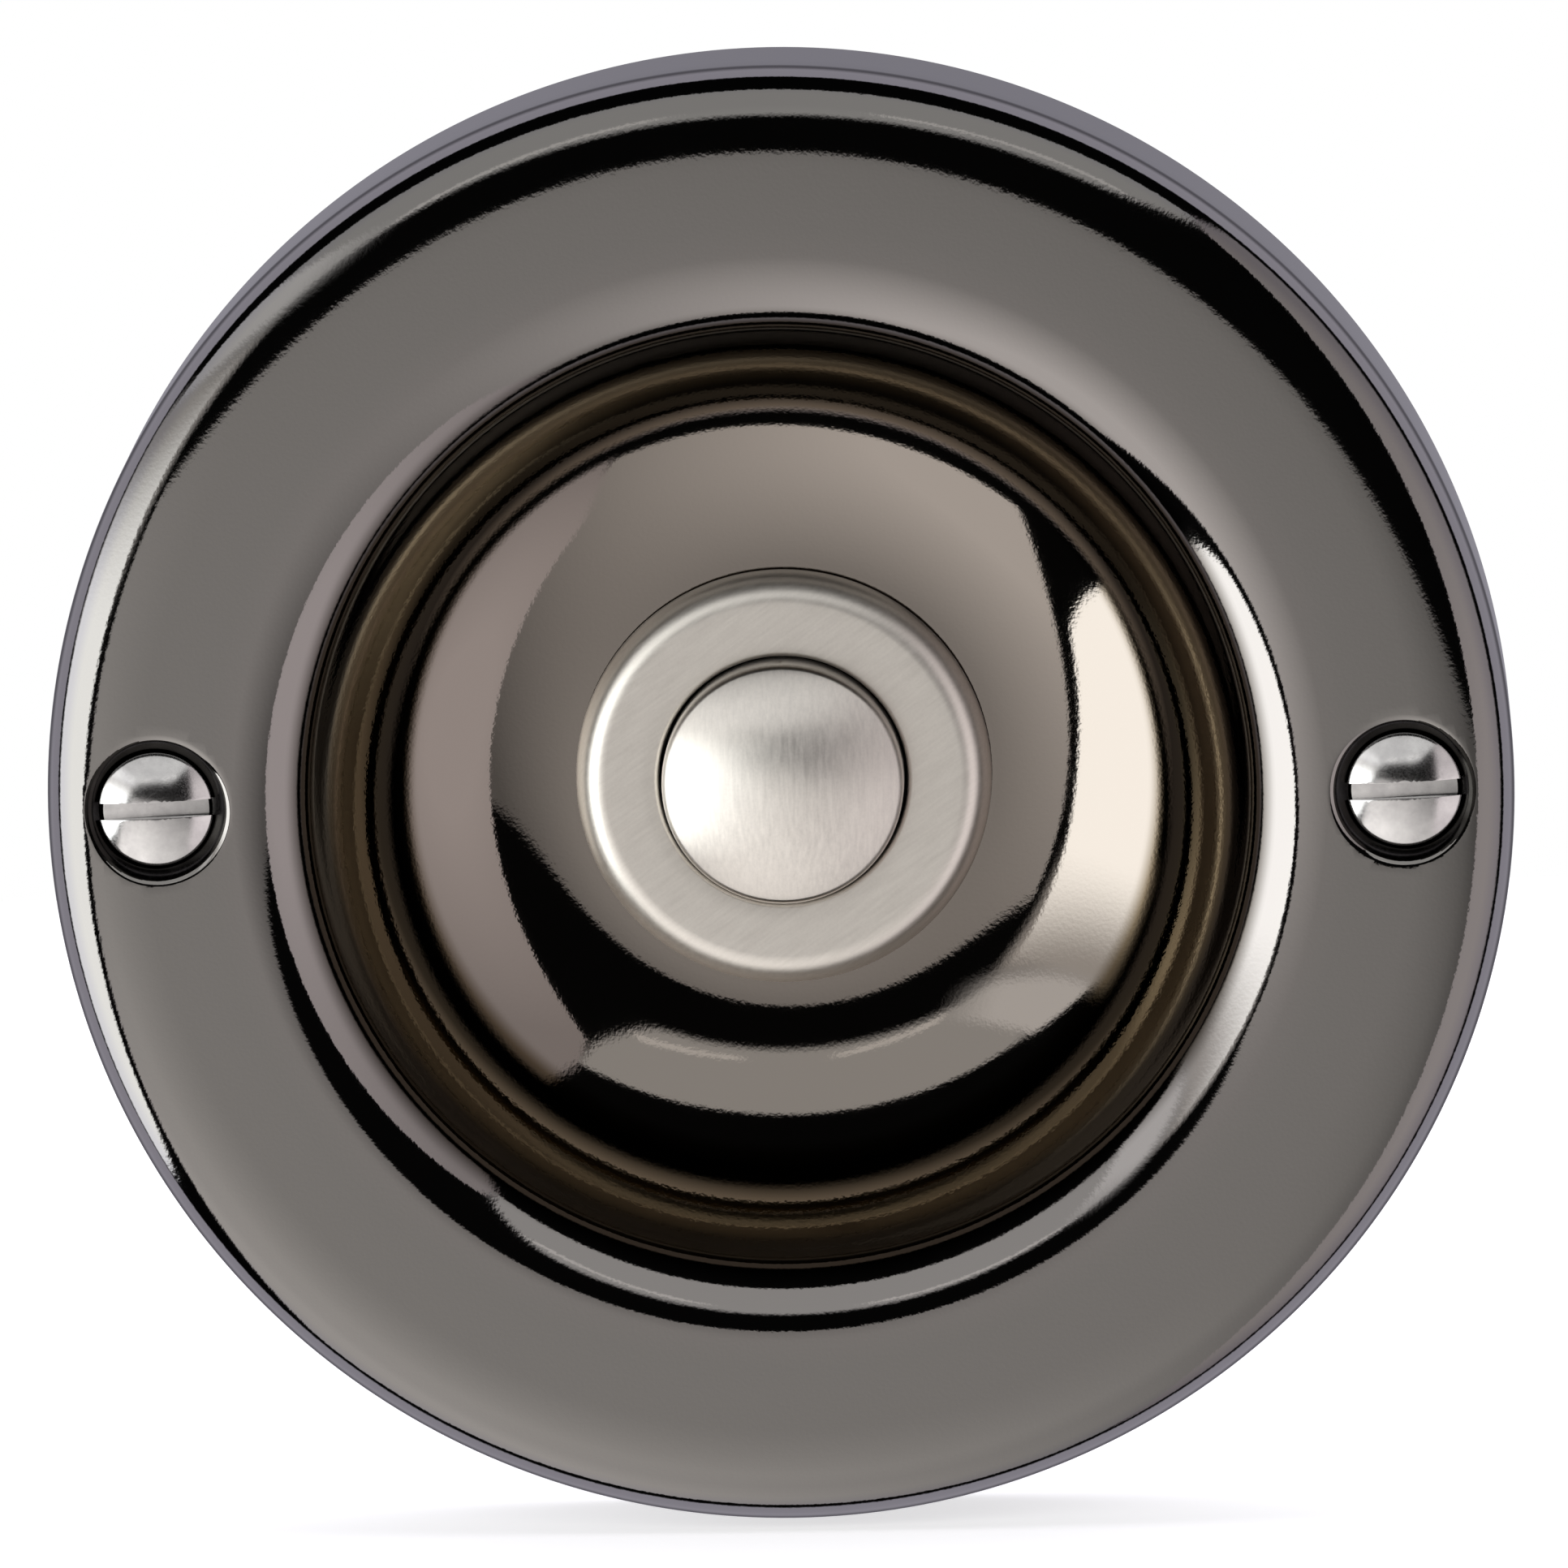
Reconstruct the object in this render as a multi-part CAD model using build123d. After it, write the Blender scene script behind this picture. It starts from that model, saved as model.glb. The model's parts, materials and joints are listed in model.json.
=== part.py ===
from build123d import *
import os
from math import asin, atan, atan2, copysign, cos, degrees, radians, sin, sqrt, tan

# A round dished bell push. A hollow cast rose with a rounded edge, a crowned flange and a deep bowl
# carries a press switch at the bottom of the bowl. Two raised countersunk screws fix it to a wall.
# Lengths are millimetres and angles are degrees.
# Every piece is drawn on a bench: the wall is the plane Z = 0, +Z comes out of the wall, +Y is up it.
# At the end each piece is turned so that +Z is up and the front of the bell push faces -Y.

# Rose
rose_diameter = 76.0
rose_height = 11.2  # from the wall to the crest, the highest circle of the flange
rose_wall = 1.4
flange_width = 9.7  # from the crest out to the side
crest_diameter = rose_diameter - 2 * flange_width
flange_crown_radius = 70.0
edge_round = 2.6
edge_inner_round = 1.2
lip_radius = 5.2
dish_depth = 9.8
seat_margin = 0.3  # flat floor that shows round the bezel

# Fixing screws
screw_edge_distance = 5.7  # from a screw's axis out to the side of the rose
screw_spacing = rose_diameter - 2 * screw_edge_distance
screw_head_diameter = 5.9
screw_head_sink = 0.45  # from the flange down to the edge of the head
screw_head_angle = 90.0
screw_dome_rise = 0.7
screw_shank_diameter = 3.5
screw_core_diameter = 2.5
screw_length = 30.0
screw_core_start = 1.0  # behind the wall, where the plain shank has ended
screw_point_length = 4.5
screw_point_diameter = 0.5
screw_slot_width = 1.0
screw_slot_depth = 1.0
screw_slot_turn = 1.8
screw_hole_clearance = 0.2
screw_seat_gap = 0.05
screw_mouth_round = 0.45  # width of the eased rim round a countersink
screw_boss_wall = 2.9

# Bezel and barrel of the switch
bezel_diameter = 21.7
bezel_height = 1.8
bezel_round = 1.1
bore_diameter = 13.0
bore_edge_round = 0.25
barrel_diameter = 18.4
barrel_hole_gap = 0.3
web_depth = 5.9  # from the back of the bezel's flange to the front of the web
web_thick = 1.6
chamber_wall = 2.2
base_seat_wall = 1.6
barrel_end_wall = 0.9  # behind the groove of the base's clip
barrel_end_chamfer = 0.5

# Gasket, lock washer and nut
gasket_thick = 0.4
gasket_setback = 0.25  # from the side of the bezel in to the edge of the gasket
lock_washer_thick = 1.0
lock_washer_width = 3.0
lock_washer_gap = 0.1
lock_washer_teeth = 14
lock_washer_notch_width = 1.6
lock_washer_notch_depth = 1.3
nut_sides = 6
nut_across_flats = 24.0
nut_thick = 3.5
nut_chamfer_angle = 30.0
thread_gap = 0.05

# Push button
travel = 1.5
stop_margin = 0.1  # left between the skirt and the web when the button is fully in
button_diameter = 12.6
button_proud = 1.6  # rim of the button above the bezel's face
button_dome_rise = 1.5
button_rim_round = 0.5
stem_diameter = 4.0
stem_gap = 0.08
spring_pocket_diameter = 9.2
spring_pocket_depth = 3.8
seal_section = 1.4
seal_squeeze = 0.08  # free space each side of the seal's section
seal_below_face = 1.4  # from the bezel's face to the top of the seal's groove
seal_groove_extra = 0.3

# Return spring
spring_wire = 0.6
spring_mean_diameter = 7.0
spring_turns = 4.5
spring_end_gap = 0.03

# Stem clip and moulded foot
stem_clip_thick = 0.6
stem_clip_width = 1.5
stem_clip_mouth = 2.4
stem_groove_depth = 0.5
clip_gap = 0.04
foot_diameter = 7.0
foot_height = 2.8
foot_clip_gap = 0.3
foot_socket_depth = 2.0
foot_socket_gap = 0.04
foot_neck_diameter = 2.2
foot_head_diameter = 3.4
foot_head_height = 0.5

# Contacts
contact_spread = 7.6  # between the two contact points
bridge_width = 3.0
bridge_thick = 0.5
bridge_overhang = 1.3
bridge_hole_gap = 0.05
tip_diameter = 2.0
tip_height = 0.5
tip_dome_rise = 0.12
contact_gap = 0.05  # left between the tips when the button is fully in

# Moulded base and its clip
base_thick = 4.2
base_gap = 0.05
base_clip_thick = 0.7
base_clip_width = 1.5
base_clip_groove_depth = 0.5
base_clip_opening = 50.0
barrier_thick = 1.4
barrier_width = 11.0
barrier_height = 3.6

# Terminals, wire screws and washers
terminal_width = 3.0
terminal_thick = 0.8
terminal_foot_reach = 1.6
terminal_leg_offset = 2.3
terminal_tab_reach = 2.5
terminal_slot_gap = 0.05
wire_screw_diameter = 2.4
wire_screw_offset = 0.2
wire_screw_length = 3.0  # from the tab's rear face to the end of the shank
wire_screw_gap = 0.05
wire_screw_relief_gap = 0.3
wire_head_diameter = 4.2
wire_head_height = 1.6
wire_slot_width = 0.7
wire_slot_depth = 0.8
wire_washer_diameter = 4.4
wire_washer_thick = 0.5
wire_washer_gap = 0.15

# Radii and heights that follow from the sizes above
rose_radius = rose_diameter / 2
crest_radius = crest_diameter / 2
bezel_radius = bezel_diameter / 2
bore_radius = bore_diameter / 2
barrel_radius = barrel_diameter / 2
button_radius = button_diameter / 2
stem_radius = stem_diameter / 2

seat_radius = bezel_radius + seat_margin
floor_z = rose_height - dish_depth
floor_back_z = floor_z - rose_wall
barrel_hole_radius = barrel_radius + barrel_hole_gap

# The lip and the bowl are two arcs that meet at one slope
wall_slope = 2 * degrees(atan(dish_depth / (crest_radius - seat_radius)))
bowl_radius = (crest_radius - seat_radius) / sin(radians(wall_slope)) - lip_radius
flange_centre_z = rose_height - flange_crown_radius

screw_x = screw_spacing / 2
screw_head_radius = screw_head_diameter / 2
screw_hole_radius = screw_shank_diameter / 2 + screw_hole_clearance
flange_z_at_screw = flange_centre_z + sqrt(flange_crown_radius**2 - (screw_x - crest_radius) ** 2)
flange_tilt_at_screw = degrees(asin((screw_x - crest_radius) / flange_crown_radius))
screw_edge_z = flange_z_at_screw - screw_head_sink
screw_half_angle = screw_head_angle / 2
screw_cone = tan(radians(screw_half_angle))
screw_mouth_radius = screw_head_radius + screw_seat_gap + screw_head_sink * screw_cone

bezel_back_z = floor_z + gasket_thick
bezel_face_z = bezel_back_z + bezel_height
web_front_z = bezel_back_z - web_depth
web_back_z = web_front_z - web_thick

button_rim_z = bezel_face_z + button_proud
button_back_z = web_front_z + travel + stop_margin
pocket_top_z = button_back_z + spring_pocket_depth
seal_groove_top_z = bezel_face_z - seal_below_face
seal_groove_height = seal_section + seal_groove_extra
seal_radius = seal_section / 2
seal_mean_radius = bore_radius - seal_squeeze - seal_radius
seal_groove_radius = seal_mean_radius - seal_radius - seal_squeeze

stem_clip_front_z = web_back_z - clip_gap
stem_clip_back_z = stem_clip_front_z - stem_clip_thick
stem_groove_radius = stem_radius - stem_groove_depth
foot_front_z = stem_clip_back_z - foot_clip_gap
foot_back_z = foot_front_z - foot_height
stem_end_z = foot_front_z - foot_socket_depth
bridge_back_z = foot_back_z - bridge_thick
bridge_tip_z = bridge_back_z - tip_height

# The base lies where the tips just fail to meet at the end of the travel
terminal_tip_z = bridge_tip_z - travel - contact_gap
terminal_foot_z = terminal_tip_z - tip_height
base_front_z = terminal_foot_z - terminal_thick
base_back_z = base_front_z - base_thick
base_clip_front_z = base_back_z - clip_gap
base_clip_back_z = base_clip_front_z - base_clip_thick
barrel_end_z = base_clip_back_z - clip_gap - barrel_end_wall
chamber_radius = barrel_radius - chamber_wall
base_seat_radius = barrel_radius - base_seat_wall
base_clip_groove_radius = base_seat_radius + base_clip_groove_depth
base_radius = base_seat_radius - base_gap

terminal_x = contact_spread / 2
terminal_tab_z = base_back_z - terminal_thick
wire_washer_z = terminal_tab_z - wire_washer_thick
wire_shank_radius = wire_screw_diameter / 2


def turned(curves):
    """Turn a closed outline, drawn as radius and height, about the bench's Z axis."""
    return revolve(Plane.XZ * make_face(curves), Axis.Z)


def polygon_turned(*points):
    """Turn a straight-sided outline of (radius, height) points about Z."""
    return turned(Polyline(*points, close=True))


def tube(outer, inner, low, high):
    """Plain ring about Z between two heights."""
    return Pos(0, 0, low) * extrude(Circle(outer) - Circle(inner), high - low)


def disc(radius, low, high):
    """Plain cylinder about Z between two heights."""
    return Pos(0, 0, low) * extrude(Circle(radius), high - low)


def block(x_low, x_high, y_low, y_high, z_low, z_high):
    """Box between three pairs of limits."""
    middle = Pos((x_low + x_high) / 2, (y_low + y_high) / 2, (z_low + z_high) / 2)
    return middle * Box(x_high - x_low, y_high - y_low, z_high - z_low)


def ball_crown(radius, edge, rise):
    """Arc of a shallow ball cap, from its edge to the axis. A negative rise bulges downwards."""
    ball = (radius**2 + rise**2) / (2 * rise)
    half_z = edge + rise - ball + copysign(sqrt(ball**2 - (radius / 2) ** 2), rise)
    return ThreePointArc((radius, edge), (radius / 2, half_z), (0, edge + rise))


def domed_disc(radius, base, edge, rise):
    """Disc about Z from base to edge with a shallow ball cap on it."""
    side = Polyline((0, edge + rise), (0, base), (radius, base), (radius, edge))
    return turned([side, ball_crown(radius, edge, rise)])


def crowned_side(side_radius, low, crest, crown, top, rounding):
    """Upright side, rounded edge and crown arc, from the foot of the side to the crest of the crown."""
    centre_z = top - crown
    round_radius = side_radius - rounding
    round_z = centre_z + sqrt((crown - rounding) ** 2 - (round_radius - crest) ** 2)
    join_angle = degrees(atan2(round_z - centre_z, round_radius - crest))
    side = Line((side_radius, low), (side_radius, round_z))
    edge = CenterArc((round_radius, round_z), rounding, 0, join_angle)
    crown_arc = CenterArc((crest, centre_z), crown, join_angle, 90 - join_angle)
    return [side, edge, crown_arc]


def rose_flange(inset, rounding):
    """Side, rounded edge and crowned flange of the rose, inset from its outer face."""
    crown = flange_crown_radius - inset
    return crowned_side(rose_radius - inset, 0, crest_radius, crown, rose_height - inset, rounding)


def rose_dish(inset):
    """Lip and bowl of the rose, inset from its outer face."""
    lip = CenterArc((crest_radius, rose_height - lip_radius), lip_radius - inset, 90, wall_slope)
    bowl = CenterArc((seat_radius, floor_z + bowl_radius), bowl_radius + inset, -90, wall_slope)
    return [lip, bowl]


def make_screw_hole():
    """Through hole and countersink for a screw, to be cut on the screw's axis."""
    top = flange_z_at_screw + screw_head_sink
    top_radius = screw_mouth_radius + screw_head_sink * screw_cone
    neck_z = flange_z_at_screw - (screw_mouth_radius - screw_hole_radius) / screw_cone
    return polygon_turned(
        (0, -rose_wall),
        (screw_hole_radius, -rose_wall),
        (screw_hole_radius, neck_z),
        (top_radius, top),
        (0, top),
    )


def make_screw_mouth():
    """Shallow cone that eases the rim of a countersink, with the flange as the plane Z = 0."""
    rim = screw_mouth_radius + screw_mouth_round
    slope = tan(radians((90 - screw_half_angle) / 2))
    return polygon_turned(
        (0, -rim * slope),
        (rim + screw_head_sink / slope, screw_head_sink),
        (0, screw_head_sink),
    )


def make_rose():
    """Hollow dished shell with a boss behind each screw."""
    face = rose_flange(0, edge_round) + rose_dish(0)
    back = rose_flange(rose_wall, edge_inner_round) + rose_dish(rose_wall)
    foot = Line((rose_radius - rose_wall, 0), (rose_radius, 0))
    floor = Polyline(
        (seat_radius, floor_z),
        (barrel_hole_radius, floor_z),
        (barrel_hole_radius, floor_back_z),
        (seat_radius, floor_back_z),
    )
    shell = Rot(0, 0, 90) * turned(face + back + [foot, floor])

    # Bosses end under the skin of the flange
    crown = Polyline((crest_radius, rose_height), (0, rose_height), (0, 0), (rose_radius, 0))
    lid = Rot(0, 0, 90) * turned(rose_flange(0, edge_round) + [crown])
    boss = disc(screw_hole_radius + screw_boss_wall, 0, rose_height)
    hole = make_screw_hole()
    mouth = make_screw_mouth()
    for side in (-1, 1):
        shell += (Pos(side * screw_x, 0, 0) * boss) & lid
    for side in (-1, 1):
        at_flange = Pos(side * screw_x, 0, flange_z_at_screw) * Rot(0, side * flange_tilt_at_screw, 0)
        shell -= Pos(side * screw_x, 0, 0) * hole
        shell -= at_flange * mouth
    return shell


def make_fixing_screw():
    """Slotted raised countersunk wood screw with a plain shank, a core and a point."""
    shank = screw_shank_diameter / 2
    core = screw_core_diameter / 2
    point = screw_point_diameter / 2
    neck_z = screw_edge_z - (screw_head_radius - shank) / screw_cone
    core_z = -screw_core_start
    plain_z = core_z + shank - core
    end_z = screw_edge_z - screw_length
    top_z = screw_edge_z + screw_dome_rise
    side = Polyline(
        (0, end_z),
        (point, end_z),
        (core, end_z + screw_point_length),
        (core, core_z),
        (shank, plain_z),
        (shank, neck_z),
        (screw_head_radius, screw_edge_z),
    )
    crown = ball_crown(screw_head_radius, screw_edge_z, screw_dome_rise)
    screw = turned([side, crown, Line((0, top_z), (0, end_z))])
    slot = Box(screw_head_diameter, screw_slot_width, 2 * screw_slot_depth)
    return screw - Pos(0, 0, top_z) * Rot(0, 0, screw_slot_turn) * slot


def make_bezel():
    """Bezel ring and barrel, one turned piece with a web that guides the stem."""
    side_z = bezel_face_z - bezel_round
    stem_hole = stem_radius + stem_gap
    clip_groove_front = base_back_z
    clip_groove_back = base_clip_back_z - clip_gap
    outer = Line((bezel_radius, bezel_back_z), (bezel_radius, side_z))
    shoulder = CenterArc((bezel_radius - bezel_round, side_z), bezel_round, 0, 90)
    face = Line((bezel_radius - bezel_round, bezel_face_z), (bore_radius + bore_edge_round, bezel_face_z))
    bore_edge = CenterArc(
        (bore_radius + bore_edge_round, bezel_face_z - bore_edge_round), bore_edge_round, 90, 90
    )
    inside = Polyline(
        (bore_radius, bezel_face_z - bore_edge_round),
        (bore_radius, web_front_z),
        (stem_hole, web_front_z),
        (stem_hole, web_back_z),
        (chamber_radius, web_back_z),
        (chamber_radius, base_front_z),
        (base_seat_radius, base_front_z),
        (base_seat_radius, clip_groove_front),
        (base_clip_groove_radius, clip_groove_front),
        (base_clip_groove_radius, clip_groove_back),
        (base_seat_radius, clip_groove_back),
        (base_seat_radius, barrel_end_z),
        (barrel_radius - barrel_end_chamfer, barrel_end_z),
        (barrel_radius, barrel_end_z + barrel_end_chamfer),
        (barrel_radius, bezel_back_z),
        (bezel_radius, bezel_back_z),
    )
    return turned([outer, shoulder, face, bore_edge, inside])


def make_gasket():
    """Flat seal between the bezel and the floor of the dish."""
    return tube(bezel_radius - gasket_setback, barrel_hole_radius, floor_z, bezel_back_z)


def make_lock_washer():
    """Washer with inner teeth, behind the rose."""
    inner = barrel_radius + lock_washer_gap
    plate = Circle(inner + lock_washer_width) - Circle(inner)
    notch = Rectangle(2 * lock_washer_notch_depth, lock_washer_notch_width)
    plate -= PolarLocations(inner, lock_washer_teeth) * notch
    return Pos(0, 0, floor_back_z - lock_washer_thick) * extrude(plate, lock_washer_thick)


def make_ring_nut():
    """Hexagon nut with chamfered corners on the barrel."""
    front = floor_back_z - lock_washer_thick
    back = front - nut_thick
    across_corners = nut_across_flats / cos(radians(180 / nut_sides))
    hexagon = RegularPolygon(across_corners / 2, nut_sides) - Circle(barrel_radius + thread_gap)
    prism = extrude(hexagon, nut_thick)
    fall = (across_corners - nut_across_flats) / 2 * tan(radians(nut_chamfer_angle))
    corner = polygon_turned(
        (0, back),
        (nut_across_flats / 2, back),
        (across_corners / 2, back + fall),
        (across_corners / 2, front),
        (0, front),
    )
    return Pos(0, 0, back) * prism & corner


def make_push_button():
    """Domed cap, seal groove, spring pocket and stem, one turned piece."""
    top_z = button_rim_z + button_dome_rise
    groove_low = seal_groove_top_z - seal_groove_height
    stem_clip_low = stem_clip_back_z - clip_gap
    stem_clip_high = stem_clip_front_z
    ball = (button_radius**2 + button_dome_rise**2) / (2 * button_dome_rise)
    cap = crowned_side(button_radius, seal_groove_top_z, 0, ball, top_z, button_rim_round)
    side = Polyline(
        (0, top_z),
        (0, stem_end_z),
        (stem_radius, stem_end_z),
        (stem_radius, stem_clip_low),
        (stem_groove_radius, stem_clip_low),
        (stem_groove_radius, stem_clip_high),
        (stem_radius, stem_clip_high),
        (stem_radius, pocket_top_z),
        (spring_pocket_diameter / 2, pocket_top_z),
        (spring_pocket_diameter / 2, button_back_z),
        (button_radius, button_back_z),
        (button_radius, groove_low),
        (seal_groove_radius, groove_low),
        (seal_groove_radius, seal_groove_top_z),
        (button_radius, seal_groove_top_z),
    )
    return turned(cap + [side])


def make_button_seal():
    """O-ring in the button's groove."""
    middle = seal_groove_top_z - seal_groove_height / 2
    return Pos(0, 0, middle) * Torus(seal_mean_radius, seal_radius)


def make_return_spring():
    """Coil spring between the web and the button's pocket."""
    low = web_front_z + spring_end_gap + spring_wire / 2
    high = pocket_top_z - spring_end_gap - spring_wire / 2
    path = Helix((high - low) / spring_turns, high - low, spring_mean_diameter / 2, center=(0, 0, low))
    section = Plane(origin=path @ 0, z_dir=path % 0) * Circle(spring_wire / 2)
    return sweep(section, path, is_frenet=True)


def make_stem_clip():
    """Open clip in the stem's groove that stops the button on the web."""
    inner = stem_groove_radius + clip_gap
    outer = stem_groove_radius + stem_clip_width
    ring = tube(outer, inner, stem_clip_back_z, stem_clip_front_z)
    half = stem_clip_mouth / 2
    mouth = block(0, outer + clip_gap, -half, half, stem_clip_back_z, stem_clip_front_z)
    return ring - mouth


def make_contact_foot():
    """Moulded insulating foot on the end of the stem, headed over under the bridge."""
    neck = foot_neck_diameter / 2
    socket = stem_radius + foot_socket_gap
    socket_z = stem_end_z - foot_socket_gap
    return polygon_turned(
        (0, socket_z),
        (socket, socket_z),
        (socket, foot_front_z),
        (foot_diameter / 2, foot_front_z),
        (foot_diameter / 2, foot_back_z),
        (neck, foot_back_z),
        (neck, bridge_back_z),
        (foot_head_diameter / 2, bridge_back_z),
        (neck, bridge_back_z - foot_head_height),
        (0, bridge_back_z - foot_head_height),
    )


def make_contact_bridge():
    """Springy strip with round ends that joins the two contacts."""
    length = contact_spread + 2 * bridge_overhang
    hole = Circle(foot_neck_diameter / 2 + bridge_hole_gap)
    strip = RectangleRounded(length, bridge_width, bridge_overhang) - hole
    return Pos(0, 0, bridge_back_z) * extrude(strip, bridge_thick)


def make_bridge_tips():
    """Two contact tips under the bridge, with domed faces."""
    edge = bridge_tip_z + tip_dome_rise
    tip = domed_disc(tip_diameter / 2, bridge_back_z, edge, -tip_dome_rise)
    return Compound([Pos(x, 0, 0) * tip for x in (-terminal_x, terminal_x)])


def make_terminal_tips():
    """Two fixed contact tips on the terminals, with domed faces."""
    edge = terminal_tip_z - tip_dome_rise
    tip = domed_disc(tip_diameter / 2, terminal_foot_z, edge, tip_dome_rise)
    return Compound([Pos(x, 0, 0) * tip for x in (-terminal_x, terminal_x)])


def make_switch_base():
    """Moulded base with terminal slots, screw reliefs and a barrier between the terminals."""
    base = disc(base_radius, base_back_z, base_front_z)
    barrier = Box(barrier_thick, barrier_width, barrier_height)
    base += Pos(0, 0, base_back_z - barrier_height / 2) * barrier
    half = terminal_width / 2 + terminal_slot_gap
    near = terminal_leg_offset - terminal_slot_gap
    far = terminal_leg_offset + terminal_thick + terminal_slot_gap
    relief = wire_shank_radius + wire_screw_relief_gap
    relief_z = terminal_tab_z + wire_screw_length + wire_screw_relief_gap
    for x in (-terminal_x, terminal_x):
        base -= block(x - half, x + half, near, far, base_back_z, base_front_z)
        base -= Pos(x, -wire_screw_offset, 0) * disc(relief, base_back_z, relief_z)
    return base


def make_base_clip():
    """Open snap ring in the barrel that holds the base."""
    outer = base_clip_groove_radius - clip_gap
    inner = outer - base_clip_width
    ring = Circle(outer) - Circle(inner)
    half = outer * tan(radians(base_clip_opening / 2))
    opening = make_face(Polyline((0, 0), (half, outer), (-half, outer), close=True))
    return Pos(0, 0, base_clip_back_z) * extrude(ring - opening, base_clip_thick)


def make_terminal():
    """Folded brass strip: contact foot, leg through the base and rear tab."""
    half = terminal_width / 2
    leg_near = terminal_leg_offset
    leg_far = terminal_leg_offset + terminal_thick
    foot = block(-half, half, -terminal_foot_reach, leg_far, base_front_z, terminal_foot_z)
    leg = block(-half, half, leg_near, leg_far, terminal_tab_z, terminal_foot_z)
    tab = block(-half, half, -terminal_tab_reach, leg_far, terminal_tab_z, base_back_z)
    strip = foot + leg + tab
    bends = strip.edges().filter_by(Axis.X).group_by(Axis.Y)[-1]
    strip = fillet(bends, terminal_thick / 2)
    thread = wire_shank_radius + wire_screw_gap
    return strip - Pos(0, -wire_screw_offset, 0) * disc(thread, terminal_tab_z, base_back_z)


def make_wire_screw():
    """Slotted cheese-head screw that clamps a wire under its washer."""
    head_z = wire_washer_z - wire_head_height
    shank_z = terminal_tab_z + wire_screw_length
    screw = disc(wire_head_diameter / 2, head_z, wire_washer_z) + disc(wire_shank_radius, head_z, shank_z)
    slot = Box(wire_head_diameter, wire_slot_width, 2 * wire_slot_depth)
    return screw - Pos(0, 0, head_z) * slot


def make_wire_washer():
    """Washer between a wire screw and its terminal."""
    return tube(wire_washer_diameter / 2, wire_shank_radius + wire_washer_gap, wire_washer_z, terminal_tab_z)


def pair(piece, x, y=0.0):
    """Two copies of a piece, left and right, as one group."""
    return Compound([Pos(side, y, 0) * piece for side in (-x, x)])


terminal = make_terminal()
pieces = {
    "rose": make_rose(),
    "fixing_screws": pair(make_fixing_screw(), screw_x),
    "switch_bezel": make_bezel(),
    "bezel_gasket": make_gasket(),
    "lock_washer": make_lock_washer(),
    "ring_nut": make_ring_nut(),
    "push_button": make_push_button(),
    "button_seal": make_button_seal(),
    "return_spring": make_return_spring(),
    "stem_clip": make_stem_clip(),
    "contact_foot": make_contact_foot(),
    "contact_bridge": make_contact_bridge(),
    "bridge_tips": make_bridge_tips(),
    "terminal_tips": make_terminal_tips(),
    "switch_base": make_switch_base(),
    "base_clip": make_base_clip(),
    "terminal_left": Pos(-terminal_x, 0, 0) * terminal,
    "terminal_right": Pos(terminal_x, 0, 0) * terminal,
    "wire_screws": pair(make_wire_screw(), terminal_x, -wire_screw_offset),
    "wire_washers": pair(make_wire_washer(), terminal_x, -wire_screw_offset),
}

os.makedirs("parts", exist_ok=True)
for name, piece in pieces.items():
    export_step(Rot(90, 0, 0) * piece, f"parts/{name}.step")
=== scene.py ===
import json
import math

import bmesh
import bpy
from mathutils import Matrix, Vector


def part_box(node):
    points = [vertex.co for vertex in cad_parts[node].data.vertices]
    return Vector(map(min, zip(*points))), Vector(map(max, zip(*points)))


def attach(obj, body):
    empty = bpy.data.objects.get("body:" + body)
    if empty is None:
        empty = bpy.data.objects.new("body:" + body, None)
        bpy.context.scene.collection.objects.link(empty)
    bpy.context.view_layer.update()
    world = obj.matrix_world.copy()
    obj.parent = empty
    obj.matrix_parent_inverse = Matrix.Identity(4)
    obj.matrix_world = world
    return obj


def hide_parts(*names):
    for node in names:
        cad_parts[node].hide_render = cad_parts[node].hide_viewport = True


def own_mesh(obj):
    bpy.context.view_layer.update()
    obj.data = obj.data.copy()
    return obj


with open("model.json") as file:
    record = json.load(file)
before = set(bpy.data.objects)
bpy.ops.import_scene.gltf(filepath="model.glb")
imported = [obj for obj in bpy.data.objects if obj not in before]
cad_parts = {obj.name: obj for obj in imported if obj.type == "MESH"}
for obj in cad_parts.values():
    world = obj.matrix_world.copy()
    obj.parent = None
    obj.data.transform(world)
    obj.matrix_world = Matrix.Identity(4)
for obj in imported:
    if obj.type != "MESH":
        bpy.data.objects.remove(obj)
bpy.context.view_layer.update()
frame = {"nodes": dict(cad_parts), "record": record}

# Looks of a round dished bell push: a polished dark nickel rose with a satin nickel switch in its bowl.
# Sizes are millimetres on a bench: the wall is the plane Z = 0, +Z comes out of it and +Y is up it.
# place() turns a bench point into the frame, where the front faces -Y and +Z is up.
# Angles are degrees, unless a name or a note says radians.

MM = 0.001

# Rose
rose_wall = 1.4
crest_radius = 28.3
flange_crown = 250.0
edge_start_radius = 32.3
edge_drop = 2.18
edge_power = 2.47
lip_radius = 5.8
lip_turn = math.radians(34)
bowl_radius = 14.706
dish_depth = 9.8
seat_radius = 11.15
barrel_hole_radius = 9.5
back_crown = 68.6
back_edge_round = 1.2
back_lip_radius = 3.8
rose_turns = 320

# Fixing screws and the mouths of their holes
screw_x = 32.3
screw_head_radius = 2.95
screw_dome_rise = 0.7
screw_shank_radius = 1.75
screw_core_radius = 1.25
screw_core_start = 1.0
screw_point_length = 4.5
screw_point_radius = 0.25
screw_slot_width = 0.86
screw_slot_depth = 0.9
screw_slot_turn = 1.8
screw_slot_edge = 0.05
screw_thread_pitch = 1.7
screw_thread_width = 0.7
screw_turns = 96
screw_hole_radius = 1.95
boss_radius = 4.85
boss_foot = 0.05
mouth_radius = 3.7
mouth_round = 0.32
mouth_fade = 0.002
mouth_turns = 120
mouth_rings = 40
mouth_reach = 8.0
skin_depth = 0.2
skin_match = 0.01

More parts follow.
